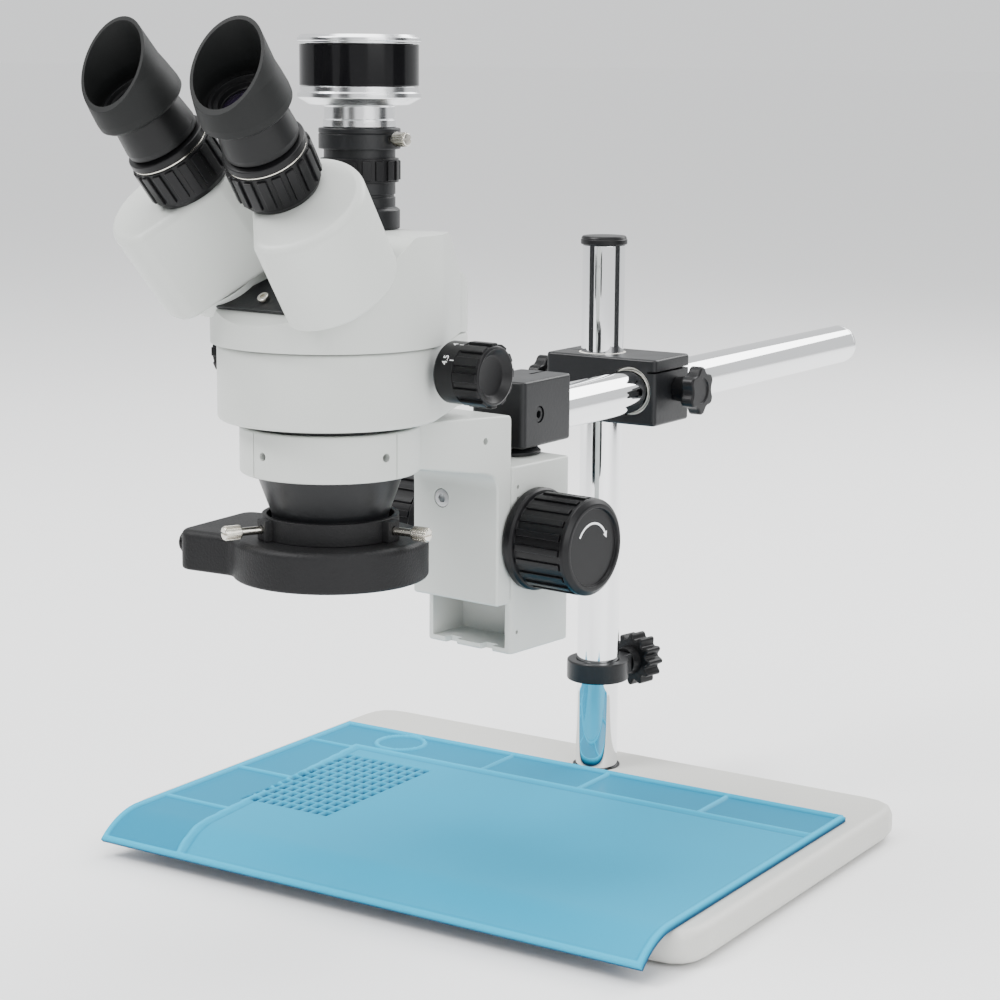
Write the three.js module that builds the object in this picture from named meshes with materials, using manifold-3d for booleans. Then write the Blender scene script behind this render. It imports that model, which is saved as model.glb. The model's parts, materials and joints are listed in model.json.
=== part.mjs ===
// A trinocular stereo zoom microscope on a boom stand, in millimetres, +Z up.
// The user sits on the -Y side. The stand is laid out from the pillar's axis (x = 0, y = 0) with z = 0
// on the table, and the finished group is then moved so that its origin is at the bottom centre of its box.

import * as THREE from 'three';
import { mergeVertices } from 'three/addons/utils/BufferGeometryUtils.js';
import Module from 'manifold-3d';

const wasm = await Module();
wasm.setup();

// ---------------------------------------------------------------------------------------------------
// Driving dimensions
// ---------------------------------------------------------------------------------------------------

const GAP = 0.3;                      // running clearance between pieces that touch or turn in each other
const DEG = Math.PI / 180;
const ROUND = 20;                     // sides of a round piece
const WIDE = 30;                      // sides of a wide round piece
const SMALL = 10;                     // sides of a small round piece

const plate = { width: 370, depth: 260, thickness: 18, corner: 22, edge: 5, behind: 35 };
const foot = { radius: 15, proud: 2, recess: 2, inset: 34 };
const mat = { width: 345, thickness: 4, back: 18.5, shift: 0.5, lead: 3, bend: 40, droop: 45 * DEG };
const pillar = { radius: 12.5, wall: 2.5, height: 314, capRadius: 13.6, capHeight: 5 };
const plug = { height: 26 };
const bolt = { radius: 5, headRadius: 8.5, headHeight: 6, grip: 18 };
const collar = { height: 12, bottom: 54, wall: 6, bossWidth: 14, bossLength: 5 };
const collarKnob = { radius: 16, thickness: 13, stud: 3 };
const liner = { wall: 1, length: 38 };
const clamp = {
  side: 12.6, front: 20, back: 22, roof: 4.9, floor: 5.4, web: 1.2, right: 3, corner: 3, edge: 1.5, slit: 1.2,
};
const clampKnob = { radius: 14, thickness: 8, hub: 7, hubLength: 9, stud: 3 };
const boom = { radius: 12.5, wall: 2, height: 232.5, length: 392, reach: 144, plug: 3 };
const bracket = { side: 4, ahead: 16, behind: 33, roof: 8.7, floor: 1.2, slit: 2, edge: 1, corner: 3.5 };
const bracketScrew = { headRadius: 4.2, up: 3, socket: 2, recess: 0.6 };
const stem = { radius: 10, into: 30, collarRadius: 15, collarHeight: 4.4, spigot: 6, spigotLength: 15 };
const rack = { turn: -6 * DEG, halfWidth: 28.5, ahead: 36.5, behind: 13, height: 99.5, wall: 4, floor: 3 };
const rackHole = { radius: 1.1, depth: 3, behind: 5, drops: [11, 17, 88] };
const rackNotch = { x: 12, halfWidth: 4, depth: 5 };
const slide = { halfWidth: 17, thickness: 6, length: 94, drop: 2 };
const gearRack = { width: 10, thickness: 3.8, length: 80, pitch: 2.5, tooth: 1.2 };
const pinion = { radius: 6, shaft: 3.5, height: 60, teeth: 15, width: 12, grip: 22 };
const focusKnob = { flange: 27, flangeDepth: 6, radius: 25.4, length: 40, ribs: 20, ribHeight: 1.1 };
const wall = { thickness: 11.5, height: 99, fillet: 10 };
const arm = { armDepthFront: 22, armDepthBack: 30, backDrop: 5 };
const ring = { bore: 38, wall: 5.4, height: 22.6, reach: 143, hole: 2.2, groove: 0.7 };
const wallScrew = { x: -9, below: 51, radius: 3, headRadius: 4.8, headDepth: 4 };
const nose = {
  band: 41, bandHeight: 2.6, coneTop: 36, coneBottom: 29, coneHeight: 20, lip: 28.6, lipHeight: 13,
};
const noseBore = 22;
const lens = { thickness: 6, recess: 4 };
const body = { radius: 54, height: 36.8, back: 82, backHalf: 27, wall: 3, floor: 3.2, corner: 14 };
const upper = { radius: 57, front: 11.5, rise: 52.5, topBack: 36, slopeEnd: 21, wall: 3 };
const eye = { incline: 38 * DEG, splay: 6 * DEG };
const prism = { x: 33.5, y: -37.1, z: 31.4, length: 50, radius: 32, flat: 21, flatTurn: 40 * DEG, wall: 3 };
const prismPivot = { pad: 20, spigot: 15.7, spigotLength: 2.6, sink: 8 };
const tube = { offset: 12, back: 6, radius: 14.2, length: 22, bore: 11.5 };
const diopter = { radius: 20.6, length: 26.2, ribs: 18 };
const barrel = { radius: 17.4, top: 16.2, length: 17.2, neck: 15.2, neckLength: 9, bore: 10.5 };
const eyecup = { base: 21.3, rim: 19, wall: 1.7, length: 25, floor: 3.5, horn: 16 };
const frontPlate = { base: 56, rise: 30, thickness: 2, up: 9 };
const plateScrew = { radius: 2.8, height: 2, up: 7 };
const port = {
  y: 23, flange: 19.5, flangeHeight: 10, radius: 17.3, clampHeight: 10, height: 48, bore: 15.3,
};
const portRing = { height: 11.5, above: 22.5, radius: 19.8, ribs: 18 };
const adapter = { radius: 17.6, height: 10.4, insert: 15, bore: 12 };
const camera = { radius: 29.8, height: 33, edge: 2.2, recess: 11, recessDepth: 9 };
const thumb = { shank: 1.6, head: 3.6, headLength: 8, length: 13.5 };
const zoomAxis = {
  y: 21, below: 12, shaft: 3, knob: 15.5, knobLength: 30, standOff: 0.5, hub: 9, hubLength: 3.6,
  grip: 18, ribs: 12,
};
const carriage = { thickness: 8, halfX: 34, halfY: 14, y: -14, lensRadius: 11, lensX: 17, ear: 6 };
const rod = { radius: 2.5, y: -36 };
const light = {
  radius: 48, height: 20, bore: 31, collar: 33.5, collarHeight: 11, box: 72, boxHalf: 30,
  turn: 6.6 * DEG,
};
const lightScrew = { shank: 2, head: 3.7, headLength: 9, length: 27, count: 3 };
const ledRing = { inner: 34, outer: 44, depth: 4, recess: 1 };
const dimmer = { radius: 6, length: 8, y: -12 };

// Heights that follow from the sizes above
const plateTop = foot.proud + plate.thickness;
const plateFront = plate.behind - plate.depth;
const pillarTop = plateTop + pillar.height;
const pillarBore = pillar.radius + liner.wall + 2 * GAP;
const boomBore = boom.radius + liner.wall + 2 * GAP;
const boomX = pillarBore + clamp.web + boomBore;
const boomZ = plateTop + boom.height;
const bracketBottom = boomZ - boom.radius - GAP - bracket.floor;
const bracketTop = boomZ + boom.radius + GAP + bracket.roof;
const rackTop = bracketBottom - stem.collarHeight - 2 * GAP;
const rackBottom = rackTop - rack.height;
const slideFace = -rack.ahead - GAP;              // rear face of the carriage wall, in the rack's frame
const pinionY = slideFace + slide.thickness + gearRack.thickness + GAP * 2 + pinion.radius + gearRack.tooth;
const pinionZ = rackBottom + pinion.height;
const ringTop = rackTop + 32.1;
const ringBottom = ringTop - ring.height;
const bodyBottom = ringTop + GAP + nose.bandHeight + GAP;
const seam = bodyBottom + body.height;
const upperBottom = seam + GAP;
const headTop = upperBottom + upper.rise;
const noseBottom = ringBottom - nose.coneHeight - nose.lipHeight;
const zoomZ = seam - zoomAxis.below;
const lightTop = noseBottom + lens.recess + 8;

// ---------------------------------------------------------------------------------------------------
// Geometry helpers
// ---------------------------------------------------------------------------------------------------

// Keeps positions only, merges shared corners, drops empty triangles and turns every face outwards.
function closed(geometry) {
  let source = geometry.clone();
  for (const name of ['normal', 'uv']) {
    source.deleteAttribute(name);
  }
  source = mergeVertices(source, 1e-4);
  const p = source.getAttribute('position');
  const index = [];
  let volume = 0;
  const [a, b, c] = [new THREE.Vector3(), new THREE.Vector3(), new THREE.Vector3()];
  for (let i = 0; i < source.index.count; i += 3) {
    const [i0, i1, i2] = [0, 1, 2].map((k) => source.index.getX(i + k));
    if (i0 === i1 || i1 === i2 || i0 === i2) continue;
    index.push(i0, i1, i2);
    a.fromBufferAttribute(p, i0);
    b.fromBufferAttribute(p, i1);
    c.fromBufferAttribute(p, i2);
    volume += a.dot(b.cross(c));
  }
  if (volume < 0) {
    for (let i = 0; i < index.length; i += 3) {
      [index[i], index[i + 1]] = [index[i + 1], index[i]];
    }
  }
  source.setIndex(index);
  return source;
}

function solid(geometry) {
  const g = closed(geometry);
  return new wasm.Manifold(new wasm.Mesh({
    numProp: 3,
    vertProperties: new Float32Array(g.getAttribute('position').array),
    triVerts: new Uint32Array(g.index.array),
  }));
}

function surface(manifold) {
  const data = manifold.getMesh();
  const g = new THREE.BufferGeometry();
  g.setAttribute('position', new THREE.BufferAttribute(new Float32Array(data.vertProperties), 3));
  g.setIndex(new THREE.BufferAttribute(new Uint32Array(data.triVerts), 1));
  return g;
}

const join = (...parts) => surface(parts.map(solid).reduce((all, one) => all.add(one)));
const cut = (part, ...tools) => surface(tools.map(solid)
    .reduce((all, one) => all.subtract(one), solid(part)));
const common = (...parts) => surface(parts.map(solid).reduce((all, one) => all.intersect(one)));

// A box given by its limits along x, y and z.
function block(x, y, z) {
  const g = new THREE.BoxGeometry(x[1] - x[0], y[1] - y[0], z[1] - z[0]);
  return g.translate((x[0] + x[1]) / 2, (y[0] + y[1]) / 2, (z[0] + z[1]) / 2);
}

// A turned piece about +Z from [radius, height] points, whose first and last points are on the axis
// or the same.
function turned(points, segments = ROUND) {
  return new THREE.LatheGeometry(points.map(([r, z]) => new THREE.Vector2(r, z)), segments)
      .rotateX(Math.PI / 2);
}

function disc(radius, from, to, segments = ROUND) {
  return turned([[0, from], [radius, from], [radius, to], [0, to]], segments);
}

function sleeve(inner, outer, from, to, segments = ROUND) {
  return turned([[inner, from], [outer, from], [outer, to], [inner, to], [inner, from]], segments);
}

// Turn a piece that was made about +Z so that +Z points along +X, -X, +Y or -Y.
const alongX = (g) => g.rotateY(Math.PI / 2);
const alongMinusX = (g) => g.rotateY(-Math.PI / 2);
const alongY = (g) => g.rotateX(-Math.PI / 2);

// A flat outline pushed from one height to another, with its two rims chamfered by edge.
function pushed(shape, from, to, edge = 0, segments = 8) {
  const g = new THREE.ExtrudeGeometry(shape, {
    depth: to - from - 2 * edge,
    bevelEnabled: edge > 0,
    bevelThickness: edge,
    bevelSize: edge,
    bevelOffset: -edge,
    bevelSegments: 1,
    curveSegments: segments,
  });
  return g.translate(0, 0, from + edge);
}

// An outline in the y-z plane pushed along x.
function pushedAlongX(shape, from, to) {
  return pushed(shape, from, to).rotateX(Math.PI / 2).rotateZ(Math.PI / 2);
}

// A closed outline whose corners [x, y, radius] are rounded.
function rounded(corners) {
  const shape = new THREE.Shape();
  corners.forEach(([x, y, radius = 0], i) => {
    const here = new THREE.Vector2(x, y);
    const before = new THREE.Vector2(...corners.at(i - 1).slice(0, 2));
    const after = new THREE.Vector2(...corners[(i + 1) % corners.length].slice(0, 2));
    const half = Math.abs(before.clone().sub(here).angleTo(after.clone().sub(here))) / 2;
    const reach = radius / Math.tan(half);
    const start = here.clone().add(before.sub(here).setLength(reach));
    const end = here.clone().add(after.sub(here).setLength(reach));
    if (i === 0) shape.moveTo(start.x, start.y);
    else shape.lineTo(start.x, start.y);
    if (radius > 0) shape.quadraticCurveTo(x, y, end.x, end.y);
  });
  shape.closePath();
  return shape;
}

function roundedBox(x, y, z, corner, edge, segments = 4) {
  const outline = rounded([[x[0], y[0], corner], [x[1], y[0], corner], [x[1], y[1], corner],
      [x[0], y[1], corner]]);
  return pushed(outline, z[0], z[1], edge, segments);
}

// A round outline with ribs or lobes that rise by height above the radius.
function ribbed(radius, ribs, height, sharpness = 1) {
  const points = [];
  const steps = ribs * 2;
  for (let i = 0; i < steps; i += 1) {
    const turn = (i / steps) * 2 * Math.PI;
    const wave = Math.sign(Math.cos(ribs * turn)) * Math.abs(Math.cos(ribs * turn)) ** sharpness;
    const r = radius + (height * (wave - 1)) / 2;
    points.push(new THREE.Vector2(r * Math.cos(turn), r * Math.sin(turn)));
  }
  return new THREE.Shape(points);
}

// ---------------------------------------------------------------------------------------------------
// Finishes
// ---------------------------------------------------------------------------------------------------

const finishes = {
  whitePaint: [0xe6e8e3, 0.45, 0.0],
  plateWhite: [0xe4e3df, 0.4, 0.0],
  blackPaint: [0x1b1c1d, 0.5, 0.0],
  blackPlastic: [0x141414, 0.4, 0.0],
  rubber: [0x191a1a, 0.8, 0.0],
  blueSilicone: [0x2f9fcb, 0.55, 0.0],
  chrome: [0xd8dadc, 0.08, 1.0],
  steel: [0xb0b2b4, 0.3, 1.0],
  nickel: [0xbdb6a8, 0.25, 1.0],
  aluminium: [0xd9dbdd, 0.25, 1.0],
  brass: [0xb08d4a, 0.35, 1.0],
  acetal: [0xd6d3c8, 0.5, 0.0],
  glass: [0x32403c, 0.05, 0.0],
  diffuser: [0xe9ecee, 0.4, 0.0],
};

function piece(name, finish, geometry) {
  const [color, roughness, metalness] = finishes[finish];
  const g = closed(geometry);
  g.computeVertexNormals();
  const mesh = new THREE.Mesh(g, new THREE.MeshStandardMaterial({ color, roughness, metalness }));
  mesh.name = name;
  return mesh;
}

function assembly(children, x = 0, y = 0, z = 0) {
  const group = new THREE.Group();
  group.add(...children);
  group.position.set(x, y, z);
  return group;
}

// ---------------------------------------------------------------------------------------------------
// Base, mat and pillar
// ---------------------------------------------------------------------------------------------------

function basePlate() {
  const side = plate.width / 2;
  const slab = roundedBox([-side, side], [plateFront, plate.behind], [foot.proud, plateTop], plate.corner,
      plate.edge, 8);
  const pockets = footPlaces().map(([x, y]) => disc(foot.radius + GAP, 0, foot.proud + foot.recess, SMALL)
      .translate(x, y, 0));
  const bore = disc(bolt.radius + GAP, 0, plateTop + 1, SMALL);
  const counterbore = disc(bolt.headRadius + 1, 0, foot.proud + bolt.headHeight + 1, SMALL);
  return piece('base_plate', 'plateWhite', cut(slab, bore, counterbore, ...pockets));
}

function footPlaces() {
  const x = plate.width / 2 - foot.inset;
  return [[-x, plateFront + foot.inset], [x, plateFront + foot.inset], [x, plate.behind - foot.inset],
    [-x, plate.behind - foot.inset]];
}

function rubberFeet() {
  return footPlaces().map(([x, y], i) => {
    const top = foot.proud + foot.recess - GAP;
    const pad = turned([[0, 0], [foot.radius - 1, 0], [foot.radius, 1], [foot.radius, top], [0, top]], SMALL);
    return piece(`rubber_foot_${i + 1}`, 'rubber', pad.translate(x, y, 0));
  });
}

// The mat lies flat on the plate and droops over its front edge, so its outline is drawn in y and z.
function siliconeMat() {
  const bottom = plateTop + GAP;
  const bendStart = plateFront + mat.lead;
  const centre = bottom - mat.bend;
  const outline = new THREE.Shape();
  outline.moveTo(-mat.back, bottom);
  outline.lineTo(-mat.back, bottom + mat.thickness);
  outline.lineTo(bendStart, bottom + mat.thickness);
  outline.absarc(bendStart, centre, mat.bend + mat.thickness, Math.PI / 2, Math.PI / 2 + mat.droop, false);
  outline.absarc(bendStart, centre, mat.bend, Math.PI / 2 + mat.droop, Math.PI / 2, true);
  outline.closePath();
  const half = mat.width / 2;
  return piece('silicone_mat', 'blueSilicone', pushedAlongX(outline, mat.shift - half, mat.shift + half));
}

function pillarTube() {
  const bottom = plateTop + GAP;
  return piece('pillar_tube', 'chrome', sleeve(pillar.radius - pillar.wall, pillar.radius, bottom,
      pillarTop));
}

function pillarPlug() {
  const bottom = plateTop + GAP;
  const insert = disc(pillar.radius - pillar.wall - GAP, bottom, bottom + plug.height, ROUND);
  const thread = disc(bolt.radius + GAP, bottom - 1, bottom + plug.height - 4, SMALL);
  return piece('pillar_plug', 'steel', cut(insert, thread));
}

function pillarBolt() {
  const head = foot.proud + 0.5;
  const seat = head + bolt.headHeight;
  const tip = plateTop + bolt.grip;
  return piece('pillar_bolt', 'steel', turned([[0, head], [bolt.headRadius, head], [bolt.headRadius, seat],
    [bolt.radius, seat], [bolt.radius, tip], [0, tip]], SMALL));
}

function pillarCap() {
  const spigot = pillar.radius - pillar.wall - GAP;
  const seat = pillarTop + GAP;
  return piece('pillar_cap', 'blackPlastic', turned([[0, seat - 10], [spigot, seat - 10], [spigot, seat],
    [pillar.capRadius, seat], [pillar.capRadius, seat + pillar.capHeight - 1],
    [pillar.capRadius - 1, seat + pillar.capHeight], [0, seat + pillar.capHeight]], ROUND));
}

// A head with finger lobes on a plain stud; the stud points along -Z and the head's inner face is at z = 0.
function lobedKnob(name, knob, hub, hubLength, lobes, studLength) {
  const head = pushed(ribbed(knob.radius, lobes, knob.radius * 0.16), hubLength,
      hubLength + knob.thickness, 1);
  const neck = disc(hub, 0, hubLength + 1, ROUND);
  const stud = disc(knob.stud, -studLength, 1, SMALL);
  return piece(name, 'blackPlastic', join(head, neck, stud));
}

function stopCollar() {
  const outer = pillar.radius + collar.wall;
  const bore = pillar.radius + GAP;
  const band = turned([[bore, 0], [outer - 1, 0], [outer, 1], [outer, collar.height - 1],
    [outer - 1, collar.height], [bore, collar.height], [bore, 0]]);
  const half = collar.bossWidth / 2;
  const boss = block([-half, half], [bore + 1.5, outer + collar.bossLength], [0, collar.height]);
  const hole = alongY(disc(collarKnob.stud + GAP, bore - 1, outer + 10, SMALL))
      .translate(0, 0, collar.height / 2);
  return piece('stop_collar', 'blackPaint', cut(join(band, boss), hole));
}

function stopCollarKnob() {
  const seat = pillar.radius + collar.wall + collar.bossLength + GAP;
  const knob = lobedKnob('stop_collar_knob', collarKnob, 8, 5, 12, seat - pillar.radius - 1);
  knob.rotation.x = -Math.PI / 2;
  knob.position.set(0, seat, collar.height / 2);
  return knob;
}

function stopAssembly() {
  const group = assembly([stopCollar(), stopCollarKnob()], 0, 0, plateTop + collar.bottom);
  group.rotation.z = -12 * DEG;
  return group;
}

// ---------------------------------------------------------------------------------------------------
// Cross clamp and boom
// ---------------------------------------------------------------------------------------------------

function pillarLiner() {
  const inner = pillar.radius + GAP;
  return piece('pillar_liner', 'acetal', sleeve(inner, inner + liner.wall, boomZ - liner.length / 2,
      boomZ + liner.length / 2));
}

function boomLiner() {
  const inner = boom.radius + GAP;
  const bush = alongY(sleeve(inner, inner + liner.wall, -liner.length / 2, liner.length / 2));
  return piece('boom_liner', 'acetal', bush.translate(boomX, (clamp.back - clamp.front) / 2, boomZ));
}

const clampLeft = -pillarBore - clamp.side;
const clampRight = boomX + boomBore + clamp.right;
const clampTop = boomZ + boomBore + clamp.roof;
const clampBottom = boomZ - boomBore - clamp.floor;
const pillarKnobY = 0;
const boomKnobY = 6;

function clampBlock() {
  const housing = roundedBox([clampLeft, clampRight], [-clamp.front, clamp.back],
    [clampBottom, clampTop], clamp.corner, clamp.edge);
  const pillarHole = disc(pillarBore, clampBottom - 1, clampTop + 1);
  const boomHole = alongY(disc(boomBore, -clamp.front - 1, clamp.back + 1)).translate(boomX, 0, boomZ);
  const leftHole = alongX(disc(clampKnob.stud + GAP, clampLeft - 1, 0, SMALL))
      .translate(0, pillarKnobY, boomZ);
  const rightHole = alongX(disc(clampKnob.stud + GAP, boomX, clampRight + 1, SMALL))
      .translate(0, boomKnobY, boomZ);
  const slit = block([clampLeft - 1, -pillarBore + 2], [-clamp.slit / 2, clamp.slit / 2],
      [boomZ + 8, clampTop + 1]);
  return piece('clamp_block', 'blackPaint', cut(housing, pillarHole, boomHole, leftHole, rightHole, slit));
}

function pillarClampKnob() {
  const knob = lobedKnob('pillar_clamp_knob', clampKnob, clampKnob.hub, clampKnob.hubLength, 6,
      clamp.side - 1);
  knob.rotation.y = -Math.PI / 2;
  knob.position.set(clampLeft - GAP, pillarKnobY, boomZ);
  return knob;
}

function boomClampKnob() {
  const knob = lobedKnob('boom_clamp_knob', clampKnob, clampKnob.hub, clampKnob.hubLength, 6, 2);
  knob.rotation.y = Math.PI / 2;
  knob.position.set(clampRight + GAP, boomKnobY, boomZ);
  return knob;
}

const boomFront = -boom.reach + stem.radius + GAP + 6;
const boomRear = boomFront + boom.length;

function boomTube() {
  const bar = alongY(sleeve(boom.radius - boom.wall, boom.radius, boomFront, boomRear));
  return piece('boom_tube', 'chrome', bar.translate(boomX, 0, boomZ));
}

function boomEndPlug() {
  const spigot = boom.radius - boom.wall - GAP;
  const seat = boomRear + GAP;
  const plugProfile = [[0, seat - 12], [spigot, seat - 12], [spigot, seat], [boom.radius, seat],
    [boom.radius, seat + boom.plug - 0.8], [boom.radius - 0.8, seat + boom.plug], [0, seat + boom.plug]];
  return piece('boom_end_plug', 'chrome', alongY(turned(plugProfile)).translate(boomX, 0, boomZ));
}

function endBracket() {
  const half = boom.radius + bracket.side;
  const back = -boom.reach + bracket.behind;
  const front = -boom.reach - bracket.ahead;
  const housing = roundedBox([boomX - half, boomX + half], [front, back], [bracketBottom, bracketTop],
    bracket.corner, bracket.edge);
  const socket = alongY(disc(boom.radius + GAP, boomFront - GAP, back + 1)).translate(boomX, 0, boomZ);
  const stemHole = disc(stem.radius + GAP, bracketBottom - 1, bracketBottom + stem.into + GAP, ROUND)
    .translate(boomX, -boom.reach, 0);
  const slit = block([boomX - bracket.slit / 2, boomX + bracket.slit / 2], [boomFront, back + 1],
      [boomZ + boom.radius - 2, bracketTop + 1]);
  const screwHole = alongX(disc(bracketScrew.headRadius + GAP, 0, half + 1, SMALL))
    .translate(boomX, -boom.reach, boomZ + bracketScrew.up);
  return piece('end_bracket', 'blackPaint', cut(housing, socket, stemHole, slit, screwHole));
}

function bracketScrewPiece() {
  const outer = boom.radius + bracket.side;
  const tip = stem.radius + GAP + 0.5;
  const screw = disc(bracketScrew.headRadius, tip, outer - bracketScrew.recess, SMALL);
  const socket = disc(bracketScrew.socket, outer - 3.5, outer + 1, 6);
  return piece('bracket_screw', 'blackPaint', alongX(cut(screw, socket))
      .translate(boomX, -boom.reach, boomZ + bracketScrew.up));
}

// ---------------------------------------------------------------------------------------------------
// Focus rack, in a frame whose z axis is the stem and whose y axis points away from the head
// ---------------------------------------------------------------------------------------------------

function stemPost() {
  const seat = rackTop + GAP;
  const shoulder = seat + stem.collarHeight;
  const foot = rackTop - stem.spigotLength;
  const tip = bracketBottom + stem.into - 1;
  return piece('stem_post', 'blackPaint', turned([[0, foot], [stem.spigot, foot], [stem.spigot, seat],
    [stem.collarRadius, seat], [stem.collarRadius, seat + 1.6], [stem.collarRadius - 2, shoulder - 1],
    [stem.radius + 1.5, shoulder - 1], [stem.radius + 1.5, shoulder], [stem.radius, shoulder],
    [stem.radius, tip], [0, tip]], ROUND));
}

function rackHousing() {
  const w = rack.halfWidth;
  const inner = w - rack.wall;
  const shell = roundedBox([-w, w], [-rack.ahead, rack.behind], [rackBottom, rackTop], 3, 1);
  const rear = pinionY + pinion.radius + 2;
  const cavity = block([-inner, inner], [-rack.ahead - 1, rear], [rackBottom + rack.floor, rackTop - 8]);
  const slot = slide.halfWidth + GAP;
  const slotBack = slideFace + slide.thickness + gearRack.thickness + gearRack.tooth + 4 * GAP;
  const topSlot = block([-slot, slot], [-rack.ahead - 1, slotBack], [rackTop - 9, rackTop + 1]);
  const stemHole = disc(stem.spigot + GAP, rackTop - stem.spigotLength - GAP, rackTop + 1, ROUND);
  const shaftHole = alongX(disc(pinion.shaft + GAP, -w - 1, w + 1, SMALL)).translate(0, pinionY, pinionZ);
  const notches = [-rackNotch.x, rackNotch.x].map((x) => block([x - rackNotch.halfWidth, x + rackNotch.halfWidth],
    [-rack.ahead - 1, -rack.ahead + rackNotch.depth], [rackBottom - 1, rackBottom + rack.floor + 1]));
  const holes = rackHole.drops.map((drop) => alongX(disc(rackHole.radius, w - rackHole.depth, w + 1, SMALL))
    .translate(0, -rack.ahead + rackHole.behind, rackTop - drop));
  return piece('rack_housing', 'whitePaint',
    cut(shell, cavity, topSlot, stemHole, shaftHole, ...notches, ...holes));
}

function pinionShaft() {
  const reach = rack.halfWidth + pinion.grip;
  const shaft = disc(pinion.shaft, -reach, reach, SMALL);
  const gear = pushed(ribbed(pinion.radius, pinion.teeth, 1.6), -pinion.width / 2, pinion.width / 2);
  return piece('pinion_shaft', 'steel', alongX(join(shaft, gear)));
}

// Knobs are made about +Z with the inner face at z = 0.
function focusKnobPiece(name, side) {
  const { flange, flangeDepth, length } = focusKnob;
  const inner = turned([[0, 0], [flange - 1.5, 0], [flange, 1.5], [flange, flangeDepth - 1],
    [flange - 1, flangeDepth], [0, flangeDepth]]);
  const grip = pushed(ribbed(focusKnob.radius, focusKnob.ribs, focusKnob.ribHeight, 0.5), flangeDepth - 1,
    length - 3);
  const rim = focusKnob.radius;
  const face = turned([[0, length - 4], [rim, length - 4], [rim, length - 2], [rim - 2, length],
    [rim - 5, length], [rim - 5.5, length - 0.8], [0, length - 0.8]]);
  const bore = disc(pinion.shaft + GAP, -1, pinion.grip + GAP, SMALL);
  const knob = piece(name, 'blackPlastic', cut(join(inner, grip, face), bore));
  knob.rotation.y = (side * Math.PI) / 2;
  knob.position.x = side * (rack.halfWidth + 2 * GAP);
  return knob;
}

function dovetailSlide() {
  const front = slideFace + GAP;
  const back = front + slide.thickness;
  const w = slide.halfWidth;
  const outline = rounded([[-w + 3, front], [w - 3, front], [w, back], [-w, back]]);
  const top = ringTop - 6 - slide.drop;
  const plain = pushed(outline, top - slide.length, top);
  return piece('dovetail_slide', 'steel', cut(plain, ...wallScrewTools(front - 1, back + 1)));
}

function gearRackPiece() {
  const back = slideFace + 2 * GAP + slide.thickness;
  const top = ringTop - 6 - slide.drop - 6;
  const outline = new THREE.Shape();
  outline.moveTo(back, top - gearRack.length);
  outline.lineTo(back, top);
  const count = Math.floor(gearRack.length / gearRack.pitch);
  const tip = back + gearRack.thickness;
  outline.lineTo(tip, top);
  for (let i = 0; i < count; i += 1) {
    const z = top - i * gearRack.pitch;
    outline.lineTo(tip + gearRack.tooth, z - gearRack.pitch * 0.3);
    outline.lineTo(tip + gearRack.tooth, z - gearRack.pitch * 0.5);
    outline.lineTo(tip, z - gearRack.pitch * 0.8);
  }
  outline.lineTo(tip, top - gearRack.length);
  outline.closePath();
  return piece('gear_rack', 'brass', pushedAlongX(outline, -gearRack.width / 2, gearRack.width / 2));
}

const wallScrewZ = ringTop - wallScrew.below;

function wallScrewTools(from, to) {
  return [alongY(disc(wallScrew.radius + GAP, from, to, SMALL)).translate(wallScrew.x, 0, wallScrewZ)];
}

// The holder: a ring that carries the head, an arm and the wall that the slide is screwed to.
function holderArm() {
  const back = slideFace;
  const front = back - wall.thickness;
  const armTop = ringTop - arm.backDrop;
  const ringFace = -ring.reach + ring.bore * 0.55;
  const profile = rounded([[ringFace, ringTop], [back, armTop, 2], [back, armTop - wall.height, 3],
    [front, armTop - wall.height, 2], [front, armTop - arm.armDepthBack, wall.fillet],
    [ringFace, ringTop - arm.armDepthFront]]);
  const web = pushedAlongX(profile, -rack.halfWidth, rack.halfWidth);
  const outer = ring.bore + GAP + ring.wall;
  const hoop = turned([[0, ringBottom], [outer - 1, ringBottom], [outer, ringBottom + 1], [outer, ringTop - 1],
    [outer - 1, ringTop], [0, ringTop]], WIDE).translate(0, -ring.reach, 0);
  const bore = disc(ring.bore + GAP, ringBottom - 30, ringTop + 30, WIDE).translate(0, -ring.reach, 0);
  const holes = [-10, -94].map((turn) => radialTool(ring.hole, turn));
  const grooves = [-1, -103].map((turn) => block([outer - 0.5, outer + 1], [-ring.groove / 2, ring.groove / 2],
    [ringBottom - 1, ringTop + 1]).rotateZ(turn * DEG).translate(0, -ring.reach, 0));
  const head = alongY(disc(wallScrew.headRadius + GAP, front - 1, front + wallScrew.headDepth + GAP, SMALL))
    .translate(wallScrew.x, 0, wallScrewZ);
  const sideHole = alongX(disc(2, rack.halfWidth - 4, rack.halfWidth + 1, SMALL))
      .translate(0, front - 10, armTop - 11);
  return piece('holder_arm', 'whitePaint', cut(join(web, hoop), bore, ...holes, ...grooves, head, sideHole,
    ...wallScrewTools(front - 1, back + 1)));
}

// A round tool that points out from the ring's axis at mid height.
function radialTool(radius, turn) {
  return alongX(disc(radius, ring.bore - 2, ring.bore + 20, SMALL)).rotateZ(turn * DEG)
    .translate(0, -ring.reach, (ringTop + ringBottom) / 2);
}

function wallScrewPiece() {
  const front = slideFace - wall.thickness;
  const seat = front + wallScrew.headDepth;
  const screw = turned([[0, front + 0.4], [wallScrew.headRadius, front + 0.4], [wallScrew.headRadius, seat],
    [wallScrew.radius, seat], [wallScrew.radius, slideFace + slide.thickness - 1],
    [0, slideFace + slide.thickness - 1]], SMALL);
  const socket = disc(2.4, front - 1, front + 2.6, 6);
  return piece('plate_screw', 'steel', alongY(cut(screw, socket)).translate(wallScrew.x, 0, wallScrewZ));
}

// ---------------------------------------------------------------------------------------------------
// Zoom head, in a frame whose z axis is the ring's axis
// ---------------------------------------------------------------------------------------------------

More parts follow.
